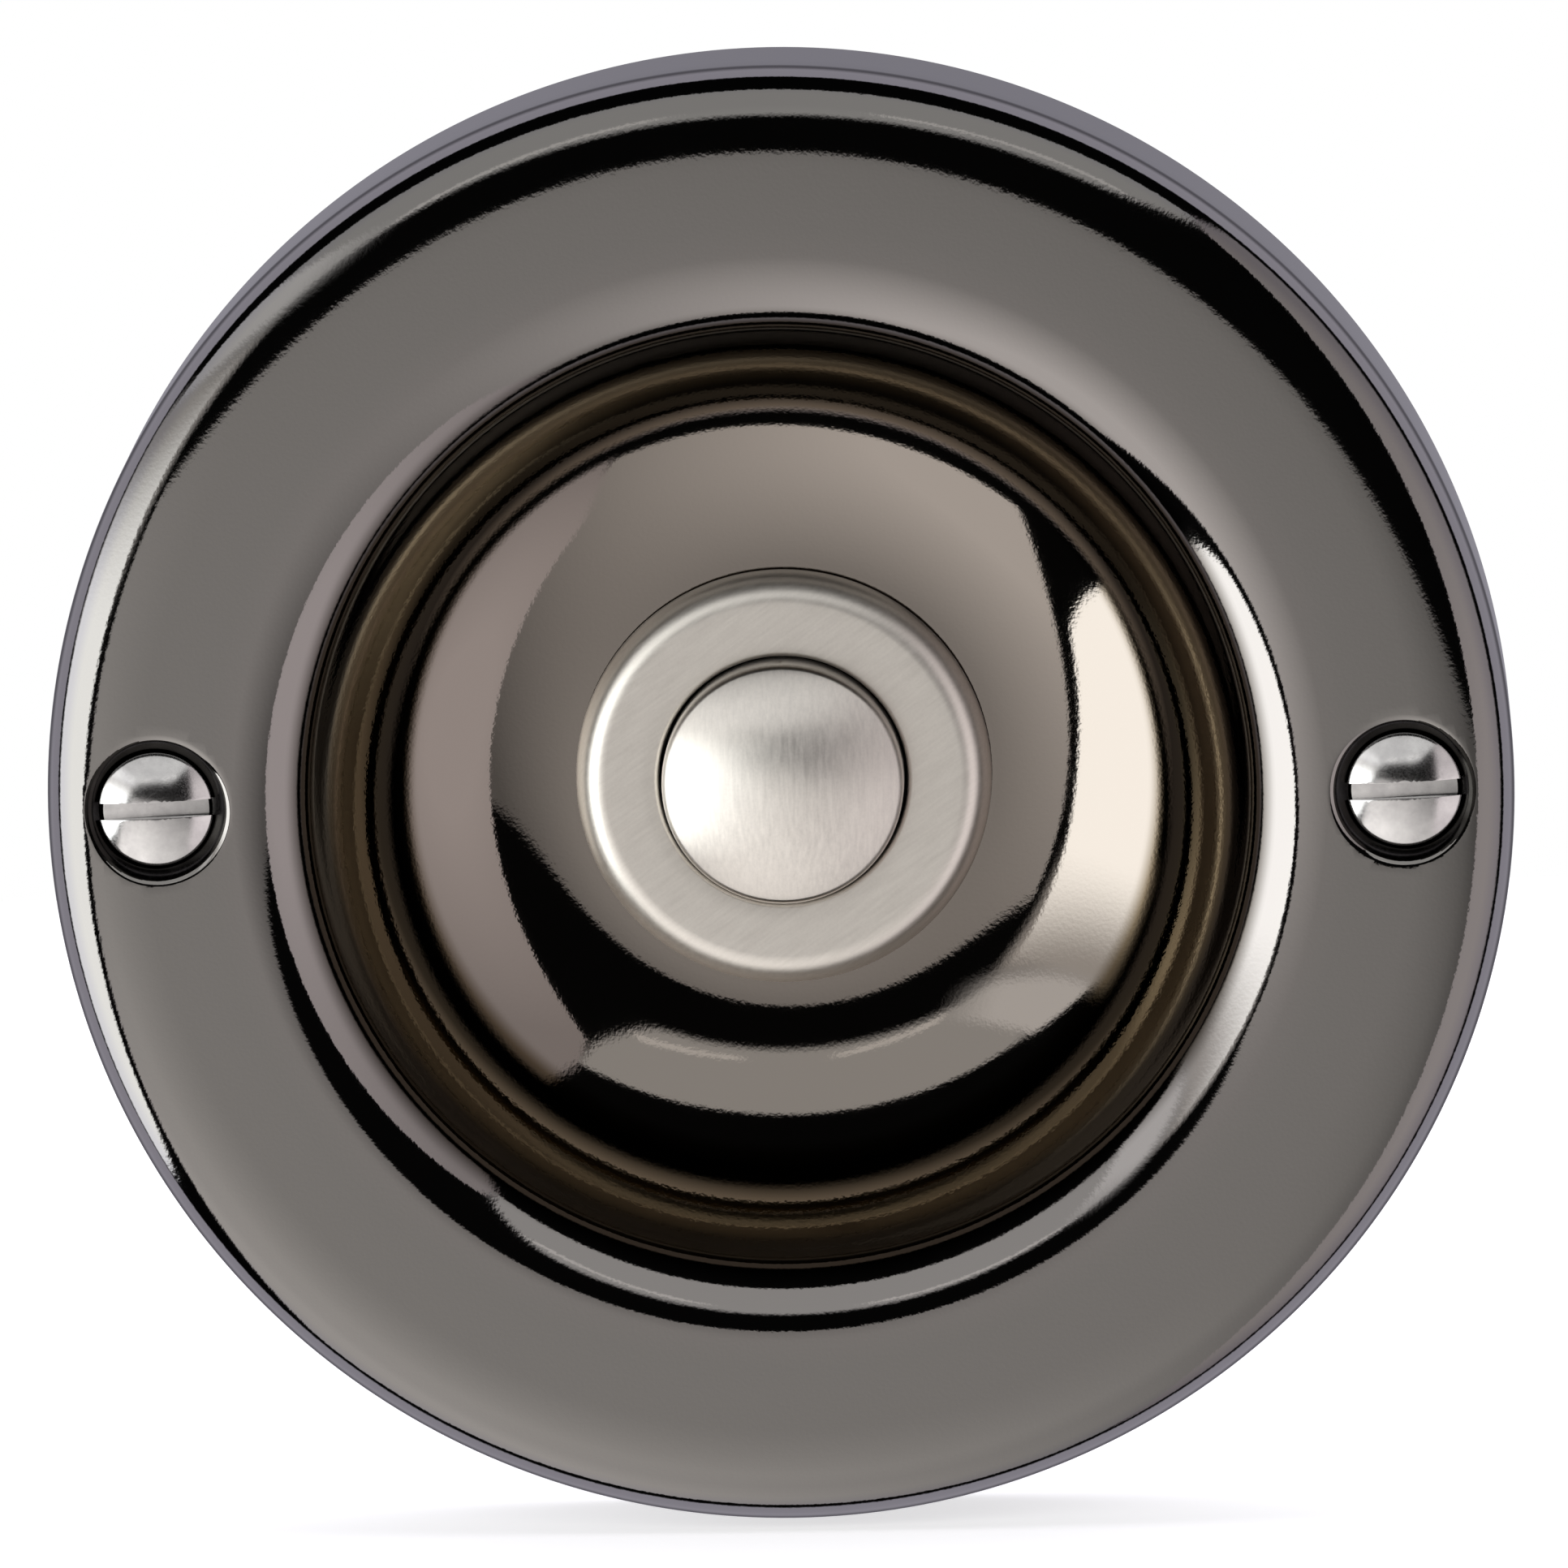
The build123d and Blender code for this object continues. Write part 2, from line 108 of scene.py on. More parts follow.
# Bezel and barrel
bezel_radius = 10.85
bezel_height = 1.8
bezel_round = 1.6
bore_radius = 6.5
bore_edge_round = 0.25
barrel_radius = 9.2
barrel_end_chamfer = 0.5
barrel_thread_depth = 0.42
barrel_thread_pitch = 1.0
barrel_thread_width = 1.1
barrel_neck = 0.6
web_front_z = -4.1
web_back_z = -5.7
stem_hole_radius = 2.08
chamber_radius = 7.0
base_seat_radius = 7.6
base_front_z = -13.29
clip_groove_radius = 8.1
clip_groove_front_z = -17.49
clip_groove_back_z = -18.27
switch_turns = 256

# Push button
button_radius = 6.3
button_dome_rise = 1.5
button_rim_round = 0.5
button_back_z = -2.5
seal_groove_radius = 4.94
seal_groove_top_z = 2.2
seal_groove_low_z = 0.5
spring_pocket_radius = 4.6
spring_pocket_top_z = 1.3
stem_radius = 2.0
stem_groove_radius = 1.5
stem_groove_front_z = -5.74
stem_groove_back_z = -6.38

# Return spring
spring_wire_radius = 0.3
spring_turns = 4.5

# Steps along the outlines; the tuples are for a side, its rounded edge and its crown
rose_side_steps = 4
rose_edge_steps = 44
flange_steps = 18
upper_lip_steps = 24
lower_lip_steps = 14
wall_steps = 6
bowl_steps = 60
back_side_steps = (2, 8, 8)
back_lip_steps = 8
back_bowl_steps = 12
bezel_side_steps = 2
bezel_round_steps = 24
bezel_face_steps = 3
bore_edge_steps = 8
button_cap_steps = (2, 14, 30)
screw_dome_steps = 16

# Steps in a turn and sides of the section of each coil, and the shares of its length over which it runs out
screw_thread_steps = 24
barrel_thread_steps = 96
thread_sides = 4
spring_coil_steps = 48
spring_wire_sides = 16
round_section = 1.0
no_run_out = 1e-3
screw_run_out = 0.08
tip_run_out = 1.0
barrel_run_outs = (0.04, 0.02)
thinnest_section = 0.02

# Distances at which points count as one, on the bench and in metres, the halvings of a search, how far a
# cutter stands past its work, and the angle past which a screw's edges are rounded
same_point = 1e-6
weld_distance = 1e-7
edge_halvings = 40
mouth_halvings = 30
cut_over = 1.0
round_angle = 50.0
round_segments = 2


def box_mm(node):
    """Lowest and highest corners of a solid on the bench."""
    low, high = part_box(node)
    return Vector((low[0], low[2], -high[1])) / MM, Vector((high[0], high[2], -low[1])) / MM


rose_low, rose_high = box_mm("rose")
screw_low, screw_high = box_mm("fixing_screws")
bezel_low, bezel_high = box_mm("switch_bezel")
button_low, button_high = box_mm("push_button")
spring_low, spring_high = box_mm("return_spring")

# Radii and heights that follow from the sizes above and the solids
rose_radius = rose_high.x
rose_height = rose_high.z
floor_z = rose_height - dish_depth
wall_slope = 2 * math.atan(dish_depth / (crest_radius - seat_radius))
screw_edge_z = screw_high.z - screw_dome_rise
bezel_face_z = bezel_high.z
bezel_back_z = bezel_face_z - bezel_height


def place(x, y, z):
    """Frame point, in metres, of a bench point."""
    return Vector((x, -z, y)) * MM


# Outlines, as lists of (radius, height) points


def arc(radius, height, size, start, turn, steps):
    """Points along an arc about a centre, from a start angle and through a turn, in radians."""
    angles = [start + turn * i / steps for i in range(steps + 1)]
    return [(radius + size * math.cos(a), height + size * math.sin(a)) for a in angles]


def run(first, last, steps):
    """Points along a straight run, both ends included."""
    shares = [i / steps for i in range(steps + 1)]
    return [tuple(a + (b - a) * s for a, b in zip(first, last)) for s in shares]


def joined(*stretches):
    """One outline from stretches that meet end to end."""
    points = list(stretches[0])
    for stretch in stretches[1:]:
        points += stretch[1:] if math.dist(points[-1], stretch[0]) < same_point else stretch
    return points


def crowned_side(side_radius, low, crest, crown, top, rounding, steps):
    """Upright side, rounded edge and crown, from the foot of the side to the crest."""
    side_steps, edge_steps, crown_steps = steps
    centre_z = top - crown
    round_radius = side_radius - rounding
    round_z = centre_z + math.sqrt((crown - rounding) ** 2 - (round_radius - crest) ** 2)
    join = math.atan2(round_z - centre_z, round_radius - crest)
    return joined(
        run((side_radius, low), (side_radius, round_z), side_steps),
        arc(round_radius, round_z, rounding, 0, join, edge_steps),
        arc(crest, centre_z, crown, join, math.pi / 2 - join, crown_steps),
    )


# Curves of the polished face: bowl, straight wall, two arcs of the lip, crowned flange and falling edge
bowl_top = (
    seat_radius + bowl_radius * math.sin(wall_slope),
    floor_z + bowl_radius * (1 - math.cos(wall_slope)),
)
lip_low = (
    crest_radius - lip_radius * math.sin(lip_turn),
    rose_height - lip_radius * (1 - math.cos(lip_turn)),
)
lip_run = Matrix((
    (math.sin(wall_slope) - math.sin(lip_turn), math.cos(wall_slope)),
    (math.cos(lip_turn) - math.cos(wall_slope), math.sin(wall_slope)),
)).inverted() @ Vector((lip_low[0] - bowl_top[0], lip_low[1] - bowl_top[1]))
low_lip_radius, wall_length = lip_run
wall_top_radius = bowl_top[0] + wall_length * math.cos(wall_slope)
low_lip_centre = (
    lip_low[0] + low_lip_radius * math.sin(lip_turn),
    lip_low[1] - low_lip_radius * math.cos(lip_turn),
)
edge_width = rose_radius - edge_start_radius


def edge_fall(radius):
    """Height of the falling edge over its foot."""
    share = min(max((radius - edge_start_radius) / edge_width, 0.0), 1.0)
    return edge_drop * (1 - share**edge_power) ** (1 / edge_power)


def edge_slope(radius):
    """Downward slope of the falling edge."""
    share = max((radius - edge_start_radius) / edge_width, 0.0)
    steepening = (1 - share**edge_power) ** (1 / edge_power - 1)
    return edge_drop / edge_width * share ** (edge_power - 1) * steepening


def edge_join():
    """Radius at which the crown of the flange and the falling edge slope alike."""
    low, high = edge_start_radius, rose_radius - edge_width / 2
    for _ in range(edge_halvings):
        middle = (low + high) / 2
        if edge_slope(middle) < (middle - crest_radius) / flange_crown:
            low = middle
        else:
            high = middle
    return high


def crown_height(radius):
    """Height of the flange's crown, carried on past its edge."""
    return rose_height - flange_crown + math.sqrt(flange_crown**2 - (radius - crest_radius) ** 2)


edge_join_radius = edge_join()
edge_foot_z = crown_height(edge_join_radius) - edge_fall(edge_join_radius)


def skin_height(radius):
    """Height of the polished face of the rose at a radius."""
    if radius < seat_radius:
        return floor_z
    if radius < bowl_top[0]:
        return floor_z + bowl_radius - math.sqrt(bowl_radius**2 - (radius - seat_radius) ** 2)
    if radius < wall_top_radius:
        return bowl_top[1] + (radius - bowl_top[0]) * math.tan(wall_slope)
    if radius < lip_low[0]:
        return low_lip_centre[1] + math.sqrt(low_lip_radius**2 - (low_lip_centre[0] - radius) ** 2)
    if radius < crest_radius:
        return rose_height - lip_radius + math.sqrt(lip_radius**2 - (crest_radius - radius) ** 2)
    if radius < edge_join_radius:
        return crown_height(radius)
    return edge_foot_z + edge_fall(radius)


def rose_front():
    """Polished face of the rose, from the foot of its side to the hole for the barrel."""
    last = math.acos(((edge_join_radius - edge_start_radius) / edge_width) ** (edge_power / 2))
    turns = [last * i / rose_edge_steps for i in range(rose_edge_steps + 1)]
    radii = [edge_start_radius + edge_width * math.cos(a) ** (2 / edge_power) for a in turns]
    stops = [
        (edge_join_radius, flange_steps),
        (crest_radius, upper_lip_steps),
        (lip_low[0], lower_lip_steps),
        (wall_top_radius, wall_steps),
        (bowl_top[0], bowl_steps),
    ]
    ends = [radius for radius, _ in stops[1:]] + [seat_radius]
    for (first, steps), end in zip(stops, ends):
        radii += [first + (end - first) * i / steps for i in range(1, steps + 1)]
    side = run((rose_radius, 0), (rose_radius, edge_foot_z), rose_side_steps)
    return joined(side, [(radius, skin_height(radius)) for radius in radii])


def rose_back():
    """Cast back of the rose, from the foot of its side to the hole for the barrel."""
    top = rose_height - rose_wall
    side = rose_radius - rose_wall
    bowl_size = bowl_radius + rose_wall
    bowl = arc(seat_radius, floor_z + bowl_radius, bowl_size, -math.pi / 2, wall_slope, back_bowl_steps)
    return joined(
        crowned_side(side, 0, crest_radius, back_crown, top, back_edge_round, back_side_steps),
        arc(crest_radius, top - back_lip_radius, back_lip_radius, math.pi / 2, wall_slope, back_lip_steps),
        bowl[::-1],
    )


def rose_outline():
    """Closed section of the hollow rose."""
    front = rose_front()
    hole = [(barrel_hole_radius, floor_z), (barrel_hole_radius, floor_z - rose_wall)]
    return joined(front, hole, rose_back()[::-1], front[:1])


def bezel_outline():
    """Closed section of the bezel and its barrel, down to the core of the barrel's thread."""
    side_z = bezel_face_z - bezel_round
    face_radius = bezel_radius - bezel_round
    end_z = bezel_low.z
    core = barrel_radius - barrel_thread_depth
    bore_turn = bore_radius + bore_edge_round
    bore_edge_z = bezel_face_z - bore_edge_round
    back = [
        (bore_radius, web_front_z),
        (stem_hole_radius, web_front_z),
        (stem_hole_radius, web_back_z),
        (chamber_radius, web_back_z),
        (chamber_radius, base_front_z),
        (base_seat_radius, base_front_z),
        (base_seat_radius, clip_groove_front_z),
        (clip_groove_radius, clip_groove_front_z),
        (clip_groove_radius, clip_groove_back_z),
        (base_seat_radius, clip_groove_back_z),
        (base_seat_radius, end_z),
        (barrel_radius - barrel_end_chamfer, end_z),
        (core, end_z + barrel_end_chamfer),
        (core, bezel_back_z - barrel_neck),
        (barrel_radius, bezel_back_z - barrel_neck / 2),
        (barrel_radius, bezel_back_z),
        (bezel_radius, bezel_back_z),
    ]
    return joined(
        run((bezel_radius, bezel_back_z), (bezel_radius, side_z), bezel_side_steps),
        arc(face_radius, side_z, bezel_round, 0, math.pi / 2, bezel_round_steps),
        run((face_radius, bezel_face_z), (bore_turn, bezel_face_z), bezel_face_steps),
        arc(bore_turn, bore_edge_z, bore_edge_round, math.pi / 2, math.pi / 2, bore_edge_steps),
        back,
    )


def button_outline():
    """Section of the button and its stem, from the top of the dome to the end of the stem."""
    ball = (button_radius**2 + button_dome_rise**2) / (2 * button_dome_rise)
    cap = crowned_side(
        button_radius, seal_groove_top_z, 0, ball, button_high.z, button_rim_round, button_cap_steps
    )
    back = [
        (seal_groove_radius, seal_groove_top_z),
        (seal_groove_radius, seal_groove_low_z),
        (button_radius, seal_groove_low_z),
        (button_radius, button_back_z),
        (spring_pocket_radius, button_back_z),
        (spring_pocket_radius, spring_pocket_top_z),
        (stem_radius, spring_pocket_top_z),
        (stem_radius, stem_groove_front_z),
        (stem_groove_radius, stem_groove_front_z),
        (stem_groove_radius, stem_groove_back_z),
        (stem_radius, stem_groove_back_z),
        (stem_radius, button_low.z),
        (0, button_low.z),
    ]
    return joined(cap[::-1], back)


def screw_outline():
    """Section of a fixing screw, from the top of its dome to its point."""
    ball = (screw_head_radius**2 + screw_dome_rise**2) / (2 * screw_dome_rise)
    half = math.asin(screw_head_radius / ball)
    dome = arc(0, screw_high.z - ball, ball, math.pi / 2, -half, screw_dome_steps)
    neck_z = screw_edge_z - (screw_head_radius - screw_shank_radius)
    plain_z = -screw_core_start + screw_shank_radius - screw_core_radius
    end_z = screw_low.z
    side = [
        (screw_shank_radius, neck_z),
        (screw_shank_radius, plain_z),
        (screw_core_radius, -screw_core_start),
        (screw_core_radius, end_z + screw_point_length),
        (screw_point_radius, end_z),
        (0, end_z),
    ]
    return joined(dome, side)


# Faces of the rose round the screws


def mouth_height(side, x, y):
    """Height of the skin with a countersink whose rim is rounded over into it."""
    skin = skin_height(math.hypot(x, y))
    cone = crown_height(math.hypot(x, y)) + math.hypot(x - side * screw_x, y) - mouth_radius
    overlap = max(mouth_round - abs(skin - cone), 0.0)
    return min(skin, cone) - overlap**2 / (4 * mouth_round)


def mouth_normal(side, x, y, step=1e-4):
    """Unit normal, in the frame, of the skin and countersink over a bench point."""
    slope_x = (mouth_height(side, x + step, y) - mouth_height(side, x - step, y)) / (2 * step)
    slope_y = (mouth_height(side, x, y + step) - mouth_height(side, x, y - step)) / (2 * step)
    return Vector((-slope_x, -1.0, -slope_y)).normalized()


def mouth_edge(side, angle):
    """Distance from a screw's axis, at an angle in radians, where the rounded rim fades into the skin."""
    low, high = mouth_radius - mouth_round, mouth_radius + mouth_round
    for _ in range(mouth_halvings):
        middle = (low + high) / 2
        x, y = side * screw_x + middle * math.cos(angle), middle * math.sin(angle)
        if skin_height(math.hypot(x, y)) - mouth_height(side, x, y) > mouth_fade:
            low = middle
        else:
            high = middle
    return high


# Geometry Nodes trees


def new_tree(name, sockets):
    """Empty tree with the sockets given as name and type, and its input and output nodes."""
    tree = bpy.data.node_groups.new(name, "GeometryNodeTree")
    tree.interface.new_socket("Geometry", in_out="INPUT", socket_type="NodeSocketGeometry")
    for label, kind in sockets:
        tree.interface.new_socket(label, in_out="INPUT", socket_type="NodeSocket" + kind)
    tree.interface.new_socket("Geometry", in_out="OUTPUT", socket_type="NodeSocketGeometry")
    return tree, tree.nodes.new("NodeGroupInput"), tree.nodes.new("NodeGroupOutput")


def add(tree, kind, inputs=None, **settings):
    """New node with its settings, and with its inputs given values or links."""
    node = tree.nodes.new(kind)
    for name, value in settings.items():
        setattr(node, name, value)
    for key, value in (inputs or {}).items():
        socket = node.inputs[key]
        if isinstance(value, bpy.types.NodeSocket):
            tree.links.new(value, socket)
        else:
            socket.default_value = value
    return node


def sums(tree, operation, *values):
    """Math node's result for values or links."""
    return add(tree, "ShaderNodeMath", dict(enumerate(values)), operation=operation).outputs[0]


def finish_tree(tree, geometry, finish, output):
    """End a tree with realised instances and a finish."""
    real = add(tree, "GeometryNodeRealizeInstances", {"Geometry": geometry})
    dressed = add(tree, "GeometryNodeSetMaterial", {"Geometry": real.outputs[0], "Material": finish})
    tree.links.new(dressed.outputs[0], output.inputs[0])


def turning_tree():
    """Turns the points of an outline, radius in X and height in Z, about the frame's Y axis."""
    tree, given, output = new_tree("turned_outline", [("Turn steps", "Int"), ("Finish", "Material")])
    outline = given.outputs["Geometry"]
    count = add(tree, "GeometryNodeAttributeDomainSize", {"Geometry": outline}).outputs["Point Count"]
    columns = sums(tree, "ADD", given.outputs["Turn steps"], 1)
    sheet = {"Size X": 1.0, "Size Y": 1.0, "Vertices X": columns, "Vertices Y": count}
    grid = add(tree, "GeometryNodeMeshGrid", sheet)
    spot = add(tree, "GeometryNodeInputPosition").outputs[0]
    here = add(tree, "ShaderNodeSeparateXYZ", {0: spot})
    row = sums(tree, "MULTIPLY", sums(tree, "ADD", here.outputs["Y"], 0.5), sums(tree, "SUBTRACT", count, 1))
    looked_up = {"Geometry": outline, "Value": spot, "Index": sums(tree, "ROUND", row)}
    taken = add(tree, "GeometryNodeSampleIndex", data_type="FLOAT_VECTOR", domain="POINT")
    for key, link in looked_up.items():
        tree.links.new(link, taken.inputs[key])
    point = add(tree, "ShaderNodeSeparateXYZ", {0: taken.outputs[0]})
    angle = sums(tree, "MULTIPLY", sums(tree, "ADD", here.outputs["X"], 0.5), 2 * math.pi)
    turned_spot = add(
        tree,
        "ShaderNodeCombineXYZ",
        {
            "X": sums(tree, "MULTIPLY", point.outputs["X"], sums(tree, "COSINE", angle)),
            "Y": sums(tree, "MULTIPLY", point.outputs["Z"], -1.0),
            "Z": sums(tree, "MULTIPLY", point.outputs["X"], sums(tree, "SINE", angle)),
        },
    ).outputs[0]
    moved = add(tree, "GeometryNodeSetPosition", {"Geometry": grid.outputs[0], "Position": turned_spot})
    seam = {"Geometry": moved.outputs[0], "Distance": weld_distance}
    whole = add(tree, "GeometryNodeMergeByDistance", seam)
    finish_tree(tree, whole.outputs[0], given.outputs["Finish"], output)
    return tree


def coil_tree():
    """Sweeps a round or ridged section along a coil about the frame's Y axis, with run-outs at its ends."""
    sockets = [
        ("Start radius", "Float"),
        ("End radius", "Float"),
        ("Start height", "Float"),
        ("Length", "Float"),
        ("Turns", "Float"),
        ("Steps in a turn", "Int"),
        ("Section radius", "Float"),
        ("Section sides", "Int"),
        ("Section width", "Float"),
        ("Start run-out", "Float"),
        ("End run-out", "Float"),
        ("Finish", "Material"),
    ]
    tree, given, output = new_tree("coiled_section", sockets)
    coil = add(
        tree,
        "GeometryNodeCurveSpiral",
        {
            "Resolution": given.outputs["Steps in a turn"],
            "Rotations": given.outputs["Turns"],
            "Start Radius": given.outputs["Start radius"],
            "End Radius": given.outputs["End radius"],
            "Height": given.outputs["Length"],
        },
    )
    upright = add(tree, "GeometryNodeSetCurveNormal", {"Curve": coil.outputs[0]}, mode="Z_UP")
    share = add(tree, "GeometryNodeSplineParameter").outputs["Factor"]
    from_start = sums(tree, "DIVIDE", share, given.outputs["Start run-out"])
    from_end = sums(tree, "DIVIDE", sums(tree, "SUBTRACT", 1.0, share), given.outputs["End run-out"])
    nearest = sums(tree, "MINIMUM", from_start, from_end)
    thickness = sums(tree, "MAXIMUM", sums(tree, "MINIMUM", nearest, 1.0), thinnest_section)
    ring = {"Resolution": given.outputs["Section sides"], "Radius": given.outputs["Section radius"]}
    section = add(tree, "GeometryNodeCurvePrimitiveCircle", ring)
    stretch = add(tree, "ShaderNodeCombineXYZ", {"X": 1.0, "Y": given.outputs["Section width"], "Z": 1.0})
    shaped = add(tree, "GeometryNodeTransform", {"Geometry": section.outputs[0], "Scale": stretch.outputs[0]})
    sweep = {"Curve": upright.outputs[0], "Profile Curve": shaped.outputs[0], "Scale": thickness}
    swept = add(tree, "GeometryNodeCurveToMesh", {**sweep, "Fill Caps": True})
    outward = sums(tree, "MULTIPLY", given.outputs["Start height"], -1.0)
    lift = add(tree, "ShaderNodeCombineXYZ", {"Y": outward})
    laid = add(
        tree,
        "GeometryNodeTransform",
        {"Geometry": swept.outputs[0], "Rotation": (math.pi / 2, 0, 0), "Translation": lift.outputs[0]},
    )
    finish_tree(tree, laid.outputs[0], given.outputs["Finish"], output)
    return tree


def copying_tree():
    """Puts a copy of a piece at every point."""
    tree, given, output = new_tree("placed_copies", [("Piece", "Object"), ("Finish", "Material")])
    piece = add(tree, "GeometryNodeObjectInfo", {"Object": given.outputs["Piece"]})
    spread = {"Points": given.outputs["Geometry"], "Instance": piece.outputs["Geometry"]}
    copies = add(tree, "GeometryNodeInstanceOnPoints", spread)
    finish_tree(tree, copies.outputs[0], given.outputs["Finish"], output)
    return tree


def grown(name, tree, points, **inputs):
    """Plain mesh object from a tree run on loose points, with the tree's inputs given by their names."""
    seed = bpy.data.meshes.new(name + "_points")
    seed.from_pydata(points, [], [])
    piece = bpy.data.objects.new(name, seed)
    bpy.context.scene.collection.objects.link(piece)
    modifier = piece.modifiers.new("form", "NODES")
    modifier.node_group = tree
    for socket in tree.interface.items_tree:
        if socket.in_out == "INPUT" and socket.name != "Geometry":
            modifier[socket.identifier] = inputs[socket.name.lower().replace(" ", "_").replace("-", "_")]
    settle(piece, modifier)
    bpy.data.meshes.remove(seed)
    return piece


def settle(piece, *modifiers):
    """Keep the shape that modifiers give a piece as its plain mesh, and remove them."""
    bpy.context.view_layer.update()
    done = piece.evaluated_get(bpy.context.evaluated_depsgraph_get())
    mesh = bpy.data.meshes.new_from_object(done)
    mesh.name = piece.name
    for modifier in modifiers:
        piece.modifiers.remove(modifier)
    piece.data = mesh


def smoothed(piece, sharp=32.0):
    """The piece with outward faces, smooth shading, and creases where faces meet at more than an angle."""
    form = bmesh.new()
    form.from_mesh(piece.data)
    bmesh.ops.remove_doubles(form, verts=form.verts, dist=weld_distance)
    bmesh.ops.recalc_face_normals(form, faces=form.faces)
    for face in form.faces:
        face.smooth = True
    for edge in form.edges:
        edge.smooth = edge.is_manifold and edge.calc_face_angle(0.0) < math.radians(sharp)
    form.to_mesh(piece.data)
    form.free()
    return piece


def combined(piece, operation, *tools):
    """The piece after boolean work with other closed pieces, which are used up."""
    steps = []
    for tool in tools:
        step = piece.modifiers.new(operation.lower(), "BOOLEAN")
        step.operation = operation
        step.solver = "EXACT"
        step.object = tool
        steps.append(step)
    settle(piece, *steps)
    for tool in tools:
        bpy.data.objects.remove(tool)
    return piece


def merged(whole, *others):
    """The first piece with the meshes of the others added to its own."""
    form = bmesh.new()
    for piece in (whole, *others):
        form.from_mesh(piece.data)
    form.to_mesh(whole.data)
    form.free()
    for piece in others:
        bpy.data.objects.remove(piece)
    return whole


turned_outline = turning_tree()
coiled_section = coil_tree()
placed_copies = copying_tree()


def turned(name, outline, steps, finish):
    """Turned piece from an outline of (radius, height) points."""
    points = [(r * MM, 0, z * MM) for r, z in outline]
    return smoothed(grown(name, turned_outline, points, turn_steps=steps, finish=finish))


def coil(name, radii, start, length, turns, steps, section, sides, width, run_outs, finish):
    """Coil of wire or thread ridge, from a start height outwards."""
    return smoothed(
        grown(
            name,
            coiled_section,
            [(0, 0, 0)],
            start_radius=radii[0] * MM,
            end_radius=radii[1] * MM,
            start_height=start * MM,
            length=length * MM,
            turns=turns,
            steps_in_a_turn=steps,
            section_radius=section * MM,
            section_sides=sides,
            section_width=width,
            start_run_out=run_outs[0],
            end_run_out=run_outs[1],
            finish=finish,
        )
    )


def ringed(name, rings, finish):
    """Closed piece from rings of bench points, capped at its two ends."""
    form = bmesh.new()
    loops = [[form.verts.new(place(*point)) for point in ring] for ring in rings]
    for low, high in zip(loops, loops[1:]):
        for i in range(len(low)):
            form.faces.new((low[i - 1], low[i], high[i], high[i - 1]))
    form.faces.new(loops[0])
    form.faces.new(loops[-1])
    bmesh.ops.recalc_face_normals(form, faces=form.faces)
    mesh = bpy.data.meshes.new(name)
    form.to_mesh(mesh)
    form.free()
    mesh.materials.append(finish)
    piece = bpy.data.objects.new(name, mesh)
    bpy.context.scene.collection.objects.link(piece)
    return piece


# Finishes

# Stretches of a noise pattern and of the brush grain that tones and gloss are spread over, the shares of
# lines and specks in that grain, and how much finer than its patches a metal's or a moulding's grain is
noise_span = (0.3, 0.7)
grain_span = (0.32, 0.66)
line_share, speck_share = 0.7, 0.3
metal_fineness = 9.0
moulding_fineness = 12.0


def finish(name, metallic):
    """New material, its node tree and its shader, metallic or not."""
    material = bpy.data.materials.new(name)
    material.use_nodes = True
    shader = material.node_tree.nodes["Principled BSDF"]
    shader.inputs["Metallic"].default_value = metallic
    return material, material.node_tree, shader


def object_points(tree, scale=(1.0, 1.0, 1.0), turn=0.0):
    """Object coordinates, turned about the frame's Y axis and then scaled for stretched patterns."""
    where = add(tree, "ShaderNodeTexCoord").outputs["Object"]
    rotated = add(tree, "ShaderNodeMapping", {"Vector": where, "Rotation": (0, math.radians(turn), 0)})
    return add(tree, "ShaderNodeMapping", {"Vector": rotated.outputs[0], "Scale": scale}).outputs[0]


def noise(tree, where, scale, detail=3.0, roughness=0.5):
    """Noise pattern's factor, with its scale in features to a metre."""
    pattern = {"Vector": where, "Scale": scale, "Detail": detail, "Roughness": roughness}
    return add(tree, "ShaderNodeTexNoise", pattern).outputs["Fac"]


def levels(tree, value, low, high, to_low, to_high):
    """Value moved from one range to another."""
    ranges = {"Value": value, "From Min": low, "From Max": high, "To Min": to_low, "To Max": to_high}
    return add(tree, "ShaderNodeMapRange", ranges).outputs[0]


def ramp(tree, value, *stops):
    """Colour ramp through (place, colour) stops."""
    node = add(tree, "ShaderNodeValToRGB", {"Fac": value})
    bands = node.color_ramp.elements
    while len(bands) < len(stops):
        bands.new(1.0)
    for band, (spot, colour) in zip(bands, stops):
        band.position = spot
        band.color = (*colour, 1.0)
    return node.outputs["Color"]


def dress(tree, shader, tone, roughness, relief, depth):
    """Link a tone, a roughness and a relief, whose depth is in metres, to a shader."""
    bump = add(tree, "ShaderNodeBump", {"Height": relief, "Distance": depth, "Strength": 1.0})
    tree.links.new(tone, shader.inputs["Base Color"])
    tree.links.new(roughness, shader.inputs["Roughness"])
    tree.links.new(bump.outputs["Normal"], shader.inputs["Normal"])


def radius_from_axis(tree):
    """Distance of a surface point from the axis of the bell push, in metres."""
    where = add(tree, "ShaderNodeTexCoord").outputs["Object"]
    flat = add(tree, "ShaderNodeVectorMath", {0: where, 1: (1.0, 0.0, 1.0)}, operation="MULTIPLY")
    return add(tree, "ShaderNodeVectorMath", {0: flat.outputs[0]}, operation="LENGTH").outputs["Value"]


